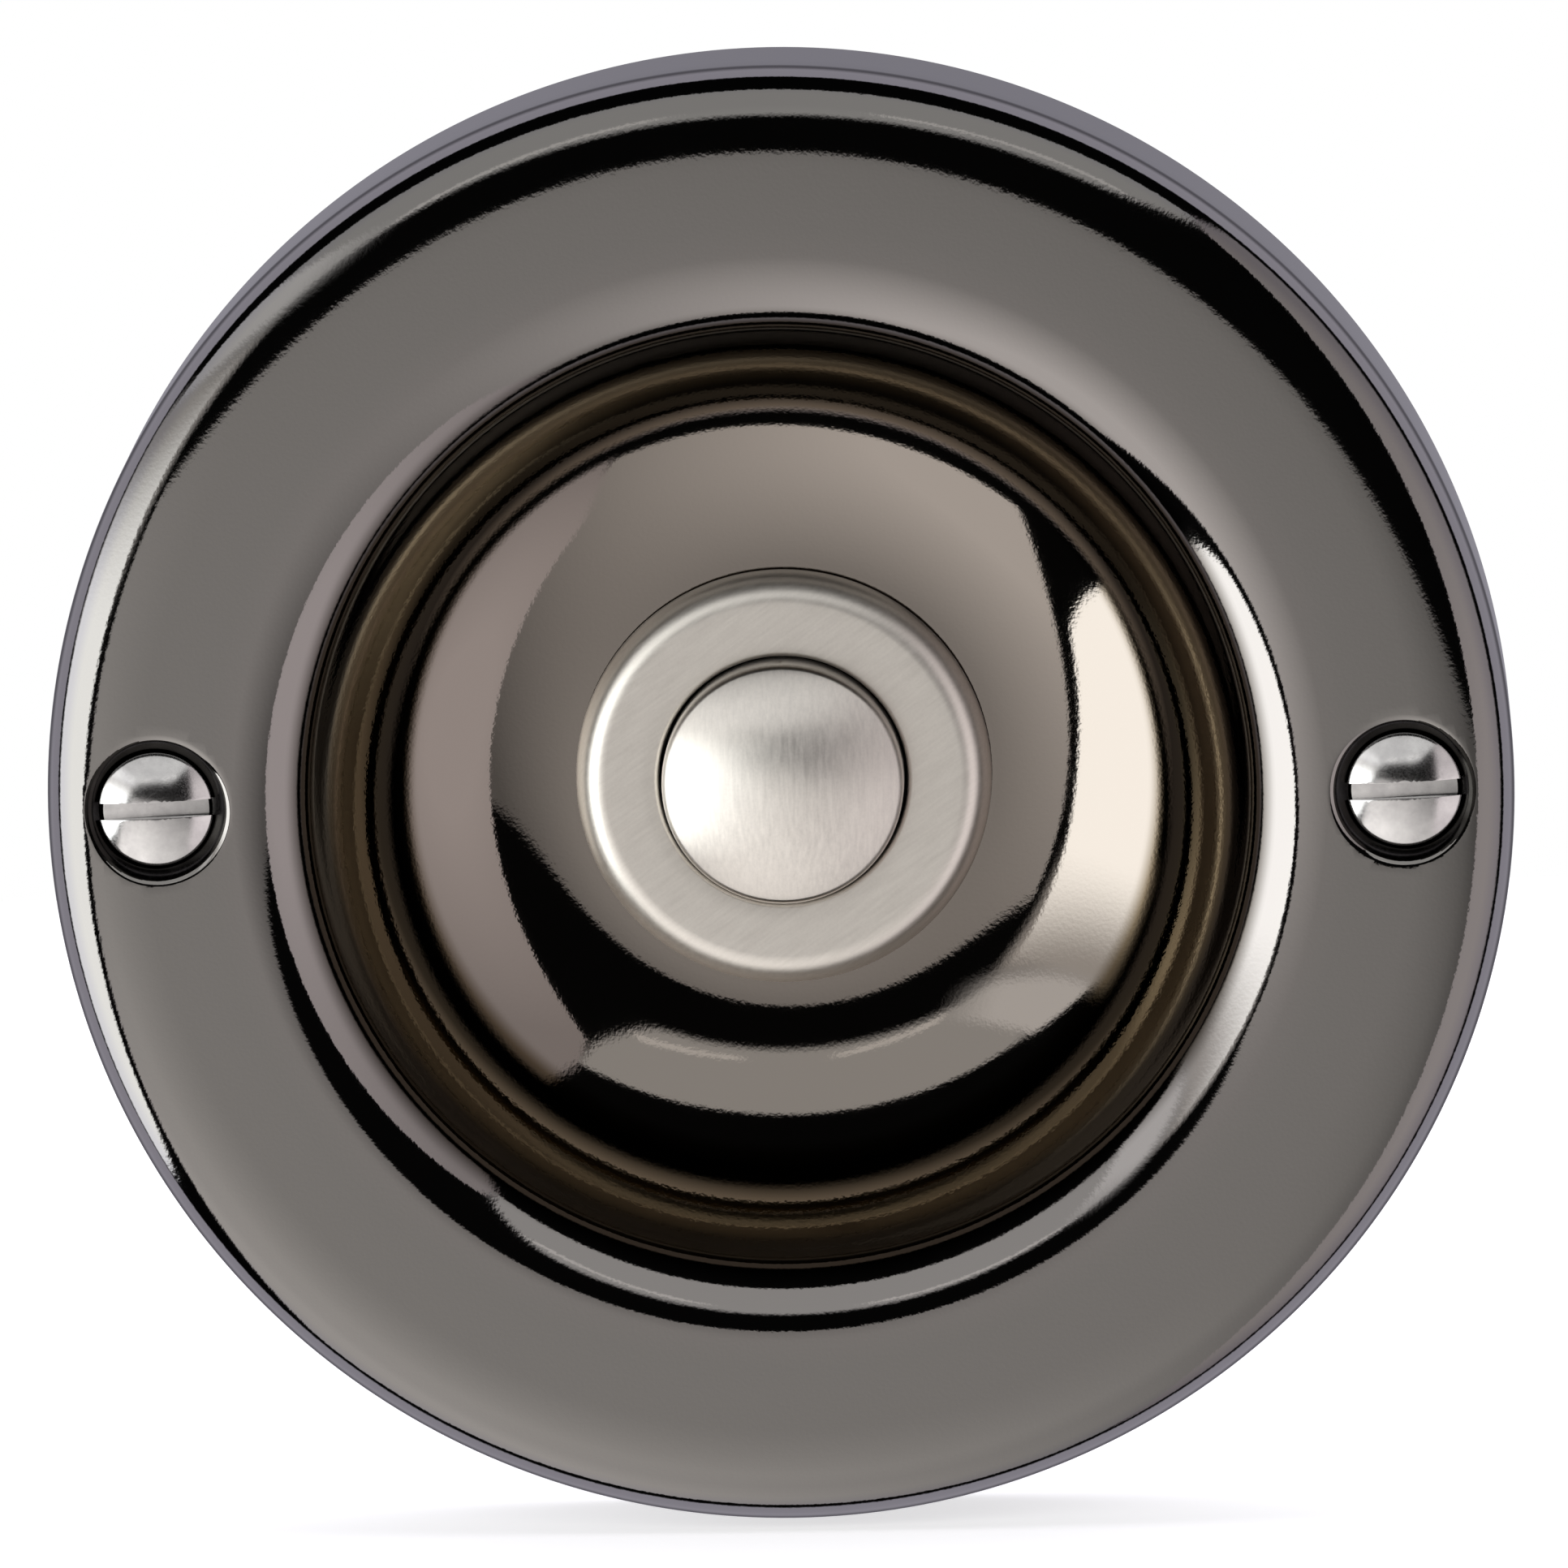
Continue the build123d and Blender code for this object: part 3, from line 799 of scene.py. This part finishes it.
def polished_black_nickel():
    """Mirror plate with its tone by radius, which carries painted shade in the wall and at the edge, a breath
    of haze and a faint polishing ripple.
    """
    material, tree, shader = finish("polished_black_nickel", 1.0)
    radius = levels(tree, radius_from_axis(tree), 0.0, rose_radius * MM, 0.0, 1.0)
    tone = ramp(tree, radius, *[(spot / rose_radius, colour) for spot, colour in plate_tones_and_painted_shade])
    where = object_points(tree)
    cloud = noise(tree, where, scale=420.0, detail=4.0, roughness=0.6)
    haze = levels(tree, cloud, *noise_span, to_low=0.03, to_high=0.05)
    dress(tree, shader, tone, haze, relief=noise(tree, where, scale=5000.0, detail=1.0), depth=1.9e-6)
    return material


def cast_black_nickel():
    """Unpolished plate on the cast back of the rose."""
    material, tree, shader = finish("cast_black_nickel", 1.0)
    where = object_points(tree)
    grain = noise(tree, where, scale=2600.0, detail=5.0, roughness=0.6)
    cloud = noise(tree, where, scale=160.0)
    tone = ramp(tree, cloud, *zip(noise_span, ((0.16, 0.15, 0.145), (0.24, 0.225, 0.21))))
    gloss = levels(tree, grain, *noise_span, to_low=0.34, to_high=0.5)
    dress(tree, shader, tone, gloss, relief=grain, depth=4.0e-5)
    return material


def satin_nickel(name, tones, rough, turn, depth, spread):
    """Satin nickel with straight brush lines at an angle across the face, which spread its shine sideways."""
    material, tree, shader = finish(name, 1.0)
    lean = math.radians(turn)
    facing = add(tree, "ShaderNodeNewGeometry").outputs["Normal"]
    lay = (math.sin(lean), 0.0, math.cos(lean))
    across = add(tree, "ShaderNodeVectorMath", {0: facing, 1: lay}, operation="CROSS_PRODUCT")
    tree.links.new(across.outputs[0], shader.inputs["Tangent"])
    shader.inputs["Anisotropic"].default_value = spread
    along_lines = object_points(tree, scale=(1.0, 1.0, 0.1), turn=turn)
    lines = noise(tree, along_lines, scale=5200.0, detail=3.0, roughness=0.55)
    specks = noise(tree, object_points(tree), scale=7000.0, detail=2.0)
    lines, specks = sums(tree, "MULTIPLY", lines, line_share), sums(tree, "MULTIPLY", specks, speck_share)
    grain = sums(tree, "ADD", lines, specks)
    tone = ramp(tree, grain, *zip(grain_span, tones))
    dress(tree, shader, tone, levels(tree, grain, *noise_span, *rough), grain, depth)
    return material


def plain_metal(name, tones, rough, scale, depth):
    """Metal with a mottled tone, uneven gloss and a fine surface."""
    material, tree, shader = finish(name, 1.0)
    where = object_points(tree)
    fine = noise(tree, where, scale * metal_fineness, detail=3.0, roughness=0.6)
    tone = ramp(tree, noise(tree, where, scale, detail=4.0, roughness=0.55), *zip(noise_span, tones))
    dress(tree, shader, tone, levels(tree, fine, *noise_span, *rough), fine, depth)
    return material


def moulded(name, tones, rough, scale, depth):
    """Moulded plastic or rubber with a cloudy tone and a matt grain."""
    material, tree, shader = finish(name, 0.0)
    where = object_points(tree)
    grain = noise(tree, where, scale * moulding_fineness, detail=4.0, roughness=0.6)
    tone = ramp(tree, noise(tree, where, scale), *zip(noise_span, tones))
    dress(tree, shader, tone, levels(tree, grain, *noise_span, *rough), grain, depth)
    return material


# Tones of the dark plate, by radius: bowl, wall with a browner band between two dark bands, lip, flange and
# edge. The two dark bands of the wall and the dimmer edge are painted shade, which dims the reflections there
plate_tones_and_painted_shade = [
    (19.1, (0.22, 0.196, 0.176)),
    (19.7, (0.08, 0.061, 0.04)),
    # Painted shade: dark bands from 20.3 to 21.2 and from 23.6 to 24.8 darken the wall's reflections
    (20.3, (0.012, 0.009, 0.006)),
    (21.2, (0.016, 0.012, 0.007)),
    (22.0, (0.092, 0.069, 0.042)),
    (23.0, (0.092, 0.069, 0.042)),
    (23.6, (0.02, 0.015, 0.01)),
    (24.8, (0.02, 0.015, 0.01)),
    (25.6, (0.22, 0.206, 0.2)),
    (28.0, (0.225, 0.212, 0.205)),
    (29.8, (0.212, 0.203, 0.195)),
    (35.4, (0.205, 0.196, 0.188)),
    # Painted shade: the edge from 36.1 outwards is darker, which dims the lamp's reflection there
    (36.1, (0.18, 0.172, 0.166)),
    (36.7, (0.18, 0.172, 0.166)),
    (37.1, (0.155, 0.149, 0.155)),
]

# Metals and mouldings: low and high tone, roughness range, patches to a metre, and depth of relief in metres
metals = {
    "bright_nickel": (((0.46, 0.45, 0.45), (0.57, 0.56, 0.555)), (0.12, 0.2), 1200.0, 1.0e-6),
    "plated_nut": (((0.55, 0.53, 0.5), (0.66, 0.64, 0.6)), (0.22, 0.34), 300.0, 2.5e-6),
    "spring_steel": (((0.3, 0.3, 0.32), (0.42, 0.42, 0.44)), (0.24, 0.36), 600.0, 4.0e-6),
    "strip_brass": (((0.68, 0.48, 0.19), (0.8, 0.6, 0.28)), (0.2, 0.32), 350.0, 4.0e-6),
    "contact_silver": (((0.72, 0.71, 0.68), (0.86, 0.85, 0.82)), (0.14, 0.24), 700.0, 2.0e-6),
    "wire_screw_plate": (((0.62, 0.59, 0.54), (0.74, 0.71, 0.65)), (0.16, 0.28), 500.0, 3.0e-6),
}
mouldings = {
    "seal_rubber": (((0.018, 0.018, 0.019), (0.03, 0.03, 0.031)), (0.45, 0.6), 400.0, 6.0e-6),
    "black_resin": (((0.022, 0.021, 0.022), (0.04, 0.038, 0.04)), (0.32, 0.46), 250.0, 8.0e-6),
    "natural_nylon": (((0.7, 0.66, 0.56), (0.82, 0.79, 0.7)), (0.36, 0.48), 250.0, 8.0e-6),
}
finishes = {
    "black_nickel": polished_black_nickel(),
    "satin_nickel": satin_nickel(
        "satin_bezel_nickel",
        tones=((0.65, 0.615, 0.57), (0.73, 0.695, 0.645)),
        rough=(0.36, 0.42),
        turn=-55.0,
        depth=2.5e-7,
        spread=0.3,
    ),
    "button_nickel": satin_nickel(
        "satin_button_nickel",
        tones=((0.59, 0.56, 0.525), (0.71, 0.675, 0.63)),
        rough=(0.33, 0.39),
        turn=0.0,
        depth=3.0e-7,
        spread=0.8,
    ),
}
finishes.update({name: plain_metal(name, *values) for name, values in metals.items()})
finishes.update({name: moulded(name, *values) for name, values in mouldings.items()})
cast_back = cast_black_nickel()
# Near-black plate in the screws' mouths: painted shade for the dark gap round the screw heads
painted_shade_mouth = plain_metal(
    "countersink_black_nickel",
    tones=((0.015, 0.014, 0.013), (0.03, 0.028, 0.026)),
    rough=(0.12, 0.22),
    scale=600.0,
    depth=1.0e-6,
)


def dress_solids():
    """Give each solid of the frame its finish."""
    for part in frame["record"]["subparts"]:
        for slot in frame["nodes"][part["node"]].material_slots:
            slot.material = finishes[part["material_slot"]]


# Pieces


def circle(radius, side, steps):
    """Bench points (x, y) of a circle about a screw's axis."""
    angles = [2 * math.pi * i / steps for i in range(steps)]
    return [(side * screw_x + radius * math.cos(a), radius * math.sin(a)) for a in angles]


def make_boss(side):
    """Boss behind a screw, which ends inside the wall of the flange."""
    foot = [(x, y, boss_foot) for x, y in circle(boss_radius, side, mouth_turns)]
    top = [(x, y, skin_height(math.hypot(x, y)) - rose_wall / 2) for x, y, _ in foot]
    return ringed("boss", [foot, top], finishes["black_nickel"])


def make_mouth_tool(side):
    """Closed form of a screw's hole and countersink, to be cut from the rose."""
    angles = [2 * math.pi * i / mouth_turns for i in range(mouth_turns)]
    edges = [mouth_edge(side, a) for a in angles]
    rings = [[(x, y, -rose_wall) for x, y in circle(screw_hole_radius, side, mouth_turns)]]
    for i in range(mouth_rings + 1):
        share = 1 - (1 - i / mouth_rings) ** 2
        ring = []
        for angle, edge in zip(angles, edges):
            reach = screw_hole_radius + (edge - screw_hole_radius) * share
            x, y = side * screw_x + reach * math.cos(angle), reach * math.sin(angle)
            ring.append((x, y, mouth_height(side, x, y)))
        rings.append(ring)
    rings.append([(x, y, rose_height + rose_wall) for x, y, _ in rings[-1]])
    return ringed("mouth", rings, finishes["black_nickel"])


def is_polished(x, y, z):
    """Whether a bench point lies on the side, the polished face or a screw's mouth, and not behind them."""
    radius = math.hypot(x, y)
    if radius > rose_radius - skin_depth:
        return True
    if math.hypot(abs(x) - screw_x, y) < mouth_radius + mouth_round:
        return z > rose_height - mouth_radius
    return z > skin_height(radius) - skin_depth


def shade_rose(mesh):
    """True normals round the screws, a near-black plate in the screws' mouths as painted shade, and the cast
    finish on the faces behind the polished skin.
    """
    mesh.materials.clear()
    for material in (finishes["black_nickel"], cast_back, painted_shade_mouth):
        mesh.materials.append(material)
    skin_index, back_index, mouth_shade_index = range(len(mesh.materials))
    normals = [Vector(corner.vector) for corner in mesh.corner_normals]
    for face in mesh.polygons:
        x, depth, y = face.center / MM
        side = math.copysign(1, x)
        polished = is_polished(x, y, -depth)
        from_screw = math.hypot(x - side * screw_x, y)
        front_index = mouth_shade_index if from_screw < mouth_radius else skin_index
        face.material_index = front_index if polished else back_index
        if not polished or from_screw > mouth_reach:
            continue
        for index in face.loop_indices:
            x, depth, y = mesh.vertices[mesh.loops[index].vertex_index].co / MM
            if abs(mouth_height(side, x, y) + depth) < skin_match:
                normals[index] = mouth_normal(side, x, y)
    mesh.normals_split_custom_set(normals)


def make_rose():
    """Polished hollow rose with a boss and a countersunk hole for each screw."""
    rose = turned("rose_shell", rose_outline(), rose_turns, finishes["black_nickel"])
    combined(rose, "UNION", make_boss(-1), make_boss(1))
    combined(rose, "DIFFERENCE", make_mouth_tool(-1), make_mouth_tool(1))
    smoothed(rose)
    shade_rose(rose.data)
    return rose


def make_screw():
    """One slotted raised countersunk screw on the axis of the bench, with its thread."""
    metal = finishes["bright_nickel"]
    screw = turned("screw_blank", screw_outline(), screw_turns, metal)
    half = Vector((screw_head_radius + cut_over, screw_slot_width / 2))
    turn = math.radians(screw_slot_turn)
    corners = [(half.x, half.y), (-half.x, half.y), (-half.x, -half.y), (half.x, -half.y)]
    slot = [
        (x * math.cos(turn) - y * math.sin(turn), x * math.sin(turn) + y * math.cos(turn)) for x, y in corners
    ]
    heights = (screw_high.z - screw_slot_depth, screw_high.z + cut_over)
    combined(screw, "DIFFERENCE", ringed("slot", [[(x, y, z) for x, y in slot] for z in heights], metal))
    bevel = screw.modifiers.new("edges", "BEVEL")
    bevel.width = screw_slot_edge * MM
    bevel.segments = round_segments
    bevel.limit_method = "ANGLE"
    bevel.angle_limit = math.radians(round_angle)
    settle(screw, bevel)
    smoothed(screw)
    depth = screw_shank_radius - screw_core_radius
    point_z = screw_low.z + screw_point_length
    straight = -screw_core_start - point_z
    shape = (screw_thread_steps, depth, thread_sides, screw_thread_width)
    thread = coil(
        "thread",
        (screw_core_radius, screw_core_radius),
        point_z,
        straight,
        round(straight / screw_thread_pitch),
        *shape,
        (no_run_out, screw_run_out),
        metal,
    )
    tip = coil(
        "thread_tip",
        (screw_point_radius, screw_core_radius),
        screw_low.z,
        screw_point_length,
        round(screw_point_length / screw_thread_pitch),
        *shape,
        (tip_run_out, no_run_out),
        metal,
    )
    return merged(screw, thread, tip)


def make_screws():
    """The two fixing screws as one piece."""
    screw = make_screw()
    spots = [place(side * screw_x, 0, 0) for side in (-1, 1)]
    pair = grown("wall_screws", placed_copies, spots, piece=screw, finish=finishes["bright_nickel"])
    bpy.data.objects.remove(screw)
    return smoothed(pair)


def make_bezel():
    """Bezel in one piece with its threaded barrel."""
    metal = finishes["satin_nickel"]
    bezel = turned("bezel_and_barrel", bezel_outline(), switch_turns, metal)
    start = bezel_low.z + barrel_end_chamfer
    length = bezel_back_z - barrel_neck - start
    core = barrel_radius - barrel_thread_depth
    turns = round(length / barrel_thread_pitch)
    shape = (barrel_thread_steps, barrel_thread_depth, thread_sides, barrel_thread_width)
    thread = coil("thread", (core, core), start, length, turns, *shape, barrel_run_outs, metal)
    return merged(bezel, thread)


def make_button():
    """Domed button in one piece with its stem."""
    return turned("button_and_stem", button_outline(), switch_turns, finishes["button_nickel"])


def make_spring():
    """Coil spring between the web of the barrel and the button."""
    middle = spring_high.x - spring_wire_radius
    start = spring_low.z + spring_wire_radius
    length = spring_high.z - spring_low.z - 2 * spring_wire_radius
    metal = finishes["spring_steel"]
    wire = (spring_coil_steps, spring_wire_radius, spring_wire_sides, round_section)
    ends = (no_run_out, no_run_out)
    return coil("coil_spring", (middle, middle), start, length, spring_turns, *wire, ends, metal)


def stands_for(piece, node, body):
    """Let a piece ride on a body in the place of a solid."""
    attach(piece, body)
    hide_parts(node)


# Studio, as directions that a level camera in front sees by azimuth to the right and elevation

studio_roll = math.radians(1.14)
level_right = Vector((math.cos(studio_roll), 0, -math.sin(studio_roll)))
level_up = Vector((math.sin(studio_roll), 0, math.cos(studio_roll)))
level_out = Vector((0, -1, 0))

# Soft panels, each with its light, its corners as azimuth, elevation and softness of the next edge, and, if
# its light is uneven, the azimuth and elevation of its bright spot, the angles from there between which the
# light falls, and the share of it left
panels = {
    "left haze": ((1.15, 1.12, 1.08), [
        (-24, 12, 3), (-45, 20, 3), (-70, 24, 3), (-73, 4, 3), (-30, 0, 3),
    ], None),
    "upper card": ((1.0, 1.0, 0.99), [
        (-27, 14.5, 2), (12, 17.5, 1), (29, 29.5, 0.8), (39, 37, 1), (30, 40, 1.2), (12, 45, 1),
        (-14, 45, 1.2), (-31, 39.5, 1.5), (-48, 31, 2),
    ], None),
    "upper left card": ((1.6, 1.6, 1.6), [
        (-66, 34, 1.2), (-49, 30.5, 1.2), (-33, 38, 6), (-22, 12.5, 2.5), (-45, 18, 2), (-67, 23, 2),
    ], None),
    "left slit": ((1.6, 1.58, 1.55), [
        (-19, 16.5, 0.8), (-7, 20, 0.8), (-7, 21.8, 0.8), (-19, 18.5, 0.8),
    ], None),
    "right slit": ((1.6, 1.58, 1.55), [
        (3, 21, 0.8), (17, 21.8, 0.8), (17, 24, 0.8), (3, 22.6, 0.8),
    ], None),
    "front card": ((1.6, 1.55, 1.51), [
        (-24, 3, 0.8), (31, -5, 0.5), (45, -60.5, 1.5), (20, -67.5, 1.2), (0, -68.5, 1.2), (-40, -61, 1.2),
        (-57, -49, 0.8),
    ], (-58.3, -46.5, 23, 82, 0.19)),
    "right card": ((1.24, 1.15, 1.16), [
        (30, 29, 0.5), (38, 36.5, 1.2), (57, 43, 2), (61, 38, 3), (67, 3, 3), (67, -33, 3), (60, -50, 2),
        (47, -60.5, 1), (31.7, -42, 0.5),
    ], (47, -15, 12, 45, 0.62)),
    "left lamp": ((4.2, 4.3, 4.25), [
        (-29, 6, 1), (-32.8, -8, 0.8), (-44, -27, 0.8), (-55, -33, 0.8), (-70, -36.5, 2.5), (-71, 0, 3),
        (-70, 13, 8),
    ], None),
}

# Light of the room, and the shares of the way out of the wall between which it turns to that of the sides and
# then to that of the backdrop
dark_tone = (0.006, 0.006, 0.006)
side_tone = (1.3, 1.27, 1.4)
side_turn = (0.27, 0.2)
backdrop_tone = (0.29, 0.28, 0.32)
backdrop_turn = (-0.3, -0.8)
white = (1.0, 1.0, 1.0)


def heading(azimuth, elevation):
    """Frame direction at an azimuth and elevation of the studio."""
    a, e = math.radians(azimuth), math.radians(elevation)
    across = level_right * math.sin(a) * math.cos(e)
    return across + level_up * math.sin(e) + level_out * math.cos(a) * math.cos(e)


def past(tree, direction, edge, low, high):
    """Soft step from 0 to 1 as a direction's share along an edge's normal goes from low to high."""
    share = add(tree, "ShaderNodeVectorMath", {0: direction, 1: edge}, operation="DOT_PRODUCT")
    ranges = {"Value": share.outputs["Value"], "From Min": low, "From Max": high}
    return add(tree, "ShaderNodeMapRange", ranges, interpolation_type="SMOOTHSTEP").outputs[0]


def panel_cover(tree, direction, corners):
    """How far a direction lies in a straight-edged panel, from 0 to 1."""
    heads = [heading(a, e) for a, e, _ in corners]
    middle = sum(heads, Vector())
    cover = 1.0
    for first, second, (_, _, soft) in zip(heads, heads[1:] + heads[:1], corners):
        edge = first.cross(second).normalized()
        edge *= math.copysign(1, edge.dot(middle))
        reach = math.sin(math.radians(soft))
        cover = sums(tree, "MULTIPLY", past(tree, direction, edge, -reach, reach), cover)
    return cover


def blended(tree, share, first, second):
    """Colour mixed from a first to a second by a share."""
    mix = add(tree, "ShaderNodeMix", data_type="RGBA")
    tree.links.new(share, mix.inputs[0])
    for socket, value in ((mix.inputs[6], first), (mix.inputs[7], second)):
        if isinstance(value, bpy.types.NodeSocket):
            tree.links.new(value, socket)
        else:
            socket.default_value = (*value, 1.0)
    return mix.outputs[2]


def shaded(tree, direction, tone, azimuth, elevation, near, far, left):
    """Tone that falls to a share of its light between two angles from its bright spot."""
    spot = heading(azimuth, elevation)
    along = add(tree, "ShaderNodeVectorMath", {0: direction, 1: spot}, operation="DOT_PRODUCT")
    apart = sums(tree, "ARCCOSINE", along.outputs["Value"])
    share = levels(tree, apart, math.radians(near), math.radians(far), 0.0, 1.0)
    return blended(tree, share, tone, [part * left for part in tone])


def make_studio():
    """World of soft panels in a dark room, with bright sides, a dim backdrop, and white to the camera."""
    world = bpy.data.worlds.new("studio")
    bpy.context.scene.world = world
    world.use_nodes = True
    tree = world.node_tree
    tree.nodes.clear()
    direction = add(tree, "ShaderNodeTexCoord").outputs["Generated"]
    light = blended(tree, past(tree, direction, level_out, *side_turn), dark_tone, side_tone)
    light = blended(tree, past(tree, direction, level_out, *backdrop_turn), light, backdrop_tone)
    for tone, corners, shade in panels.values():
        cover = panel_cover(tree, direction, corners)
        if shade:
            tone = shaded(tree, direction, tone, *shade)
        light = blended(tree, cover, light, tone)
    seen = add(tree, "ShaderNodeLightPath").outputs["Is Camera Ray"]
    glow = add(tree, "ShaderNodeBackground", {"Color": blended(tree, seen, light, white), "Strength": 1.0})
    output = add(tree, "ShaderNodeOutputWorld")
    tree.links.new(glow.outputs[0], output.inputs[0])


# Floor
floor_gap = 0.5
floor_half = 220.0
floor_tone = (0.85, 0.85, 0.85)
floor_roughness = 0.9
floor_glow = 0.6


def make_floor():
    """Pale floor just under the rose, white to the camera but for the shadow on it."""
    low = rose_low.y - floor_gap
    spread = (-floor_half, floor_half)
    corners = [(spread[0], spread[0]), (spread[0], spread[1]), (spread[1], spread[1]), (spread[1], spread[0])]
    mesh = bpy.data.meshes.new("floor")
    mesh.from_pydata([place(x, low, z) for x, z in corners], [], [(0, 1, 2, 3)])
    floor = bpy.data.objects.new("floor", mesh)
    bpy.context.scene.collection.objects.link(floor)
    material, tree, shader = finish("pale_floor", 0.0)
    shader.inputs["Base Color"].default_value = (*floor_tone, 1.0)
    shader.inputs["Roughness"].default_value = floor_roughness
    seen = add(tree, "ShaderNodeLightPath").outputs["Is Camera Ray"]
    strength = levels(tree, seen, 0, 1, 0, floor_glow)
    glow = add(tree, "ShaderNodeEmission", {"Color": (*white, 1.0), "Strength": strength})
    lit = add(tree, "ShaderNodeAddShader", {0: shader.outputs[0], 1: glow.outputs[0]})
    tree.links.new(lit.outputs[0], tree.nodes["Material Output"].inputs["Surface"])
    mesh.materials.append(material)
    floor.visible_glossy = False


# Camera, placed from the outline and the ellipses of the photograph
camera_azimuth = 1.45
camera_elevation = 8.0
camera_distance = 0.98
photo_width = 1932
focal_pixels = 23100.1
axis_pixel = (967.13, 949.6)
sensor_mm = 36.0
clip_range = (0.01, 20.0)


def make_camera():
    """Camera at the photograph's viewing angle, with its optical axis through the frame's origin."""
    data = bpy.data.cameras.new("camera")
    camera = bpy.data.objects.new("camera", data)
    bpy.context.scene.collection.objects.link(camera)
    back = heading(camera_azimuth, camera_elevation)
    right = level_up.cross(back).normalized()
    turn = Matrix((right, back.cross(right), back)).transposed()
    camera.matrix_world = Matrix.Translation(back * camera_distance) @ turn.to_4x4()
    data.sensor_width = sensor_mm
    data.lens = focal_pixels * sensor_mm / photo_width
    data.shift_x = (photo_width / 2 - axis_pixel[0]) / photo_width
    data.shift_y = (axis_pixel[1] - photo_width / 2) / photo_width
    data.clip_start, data.clip_end = clip_range
    bpy.context.scene.camera = camera


dress_solids()
stands_for(make_rose(), "rose", "backplate")
stands_for(make_screws(), "fixing_screws", "backplate")
stands_for(make_bezel(), "switch_bezel", "backplate")
stands_for(make_button(), "push_button", "button")
spring = make_spring()
stands_for(spring, "return_spring", "backplate")
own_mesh(spring)
make_studio()
make_floor()
make_camera()
bpy.context.scene.view_settings.view_transform = "Standard"
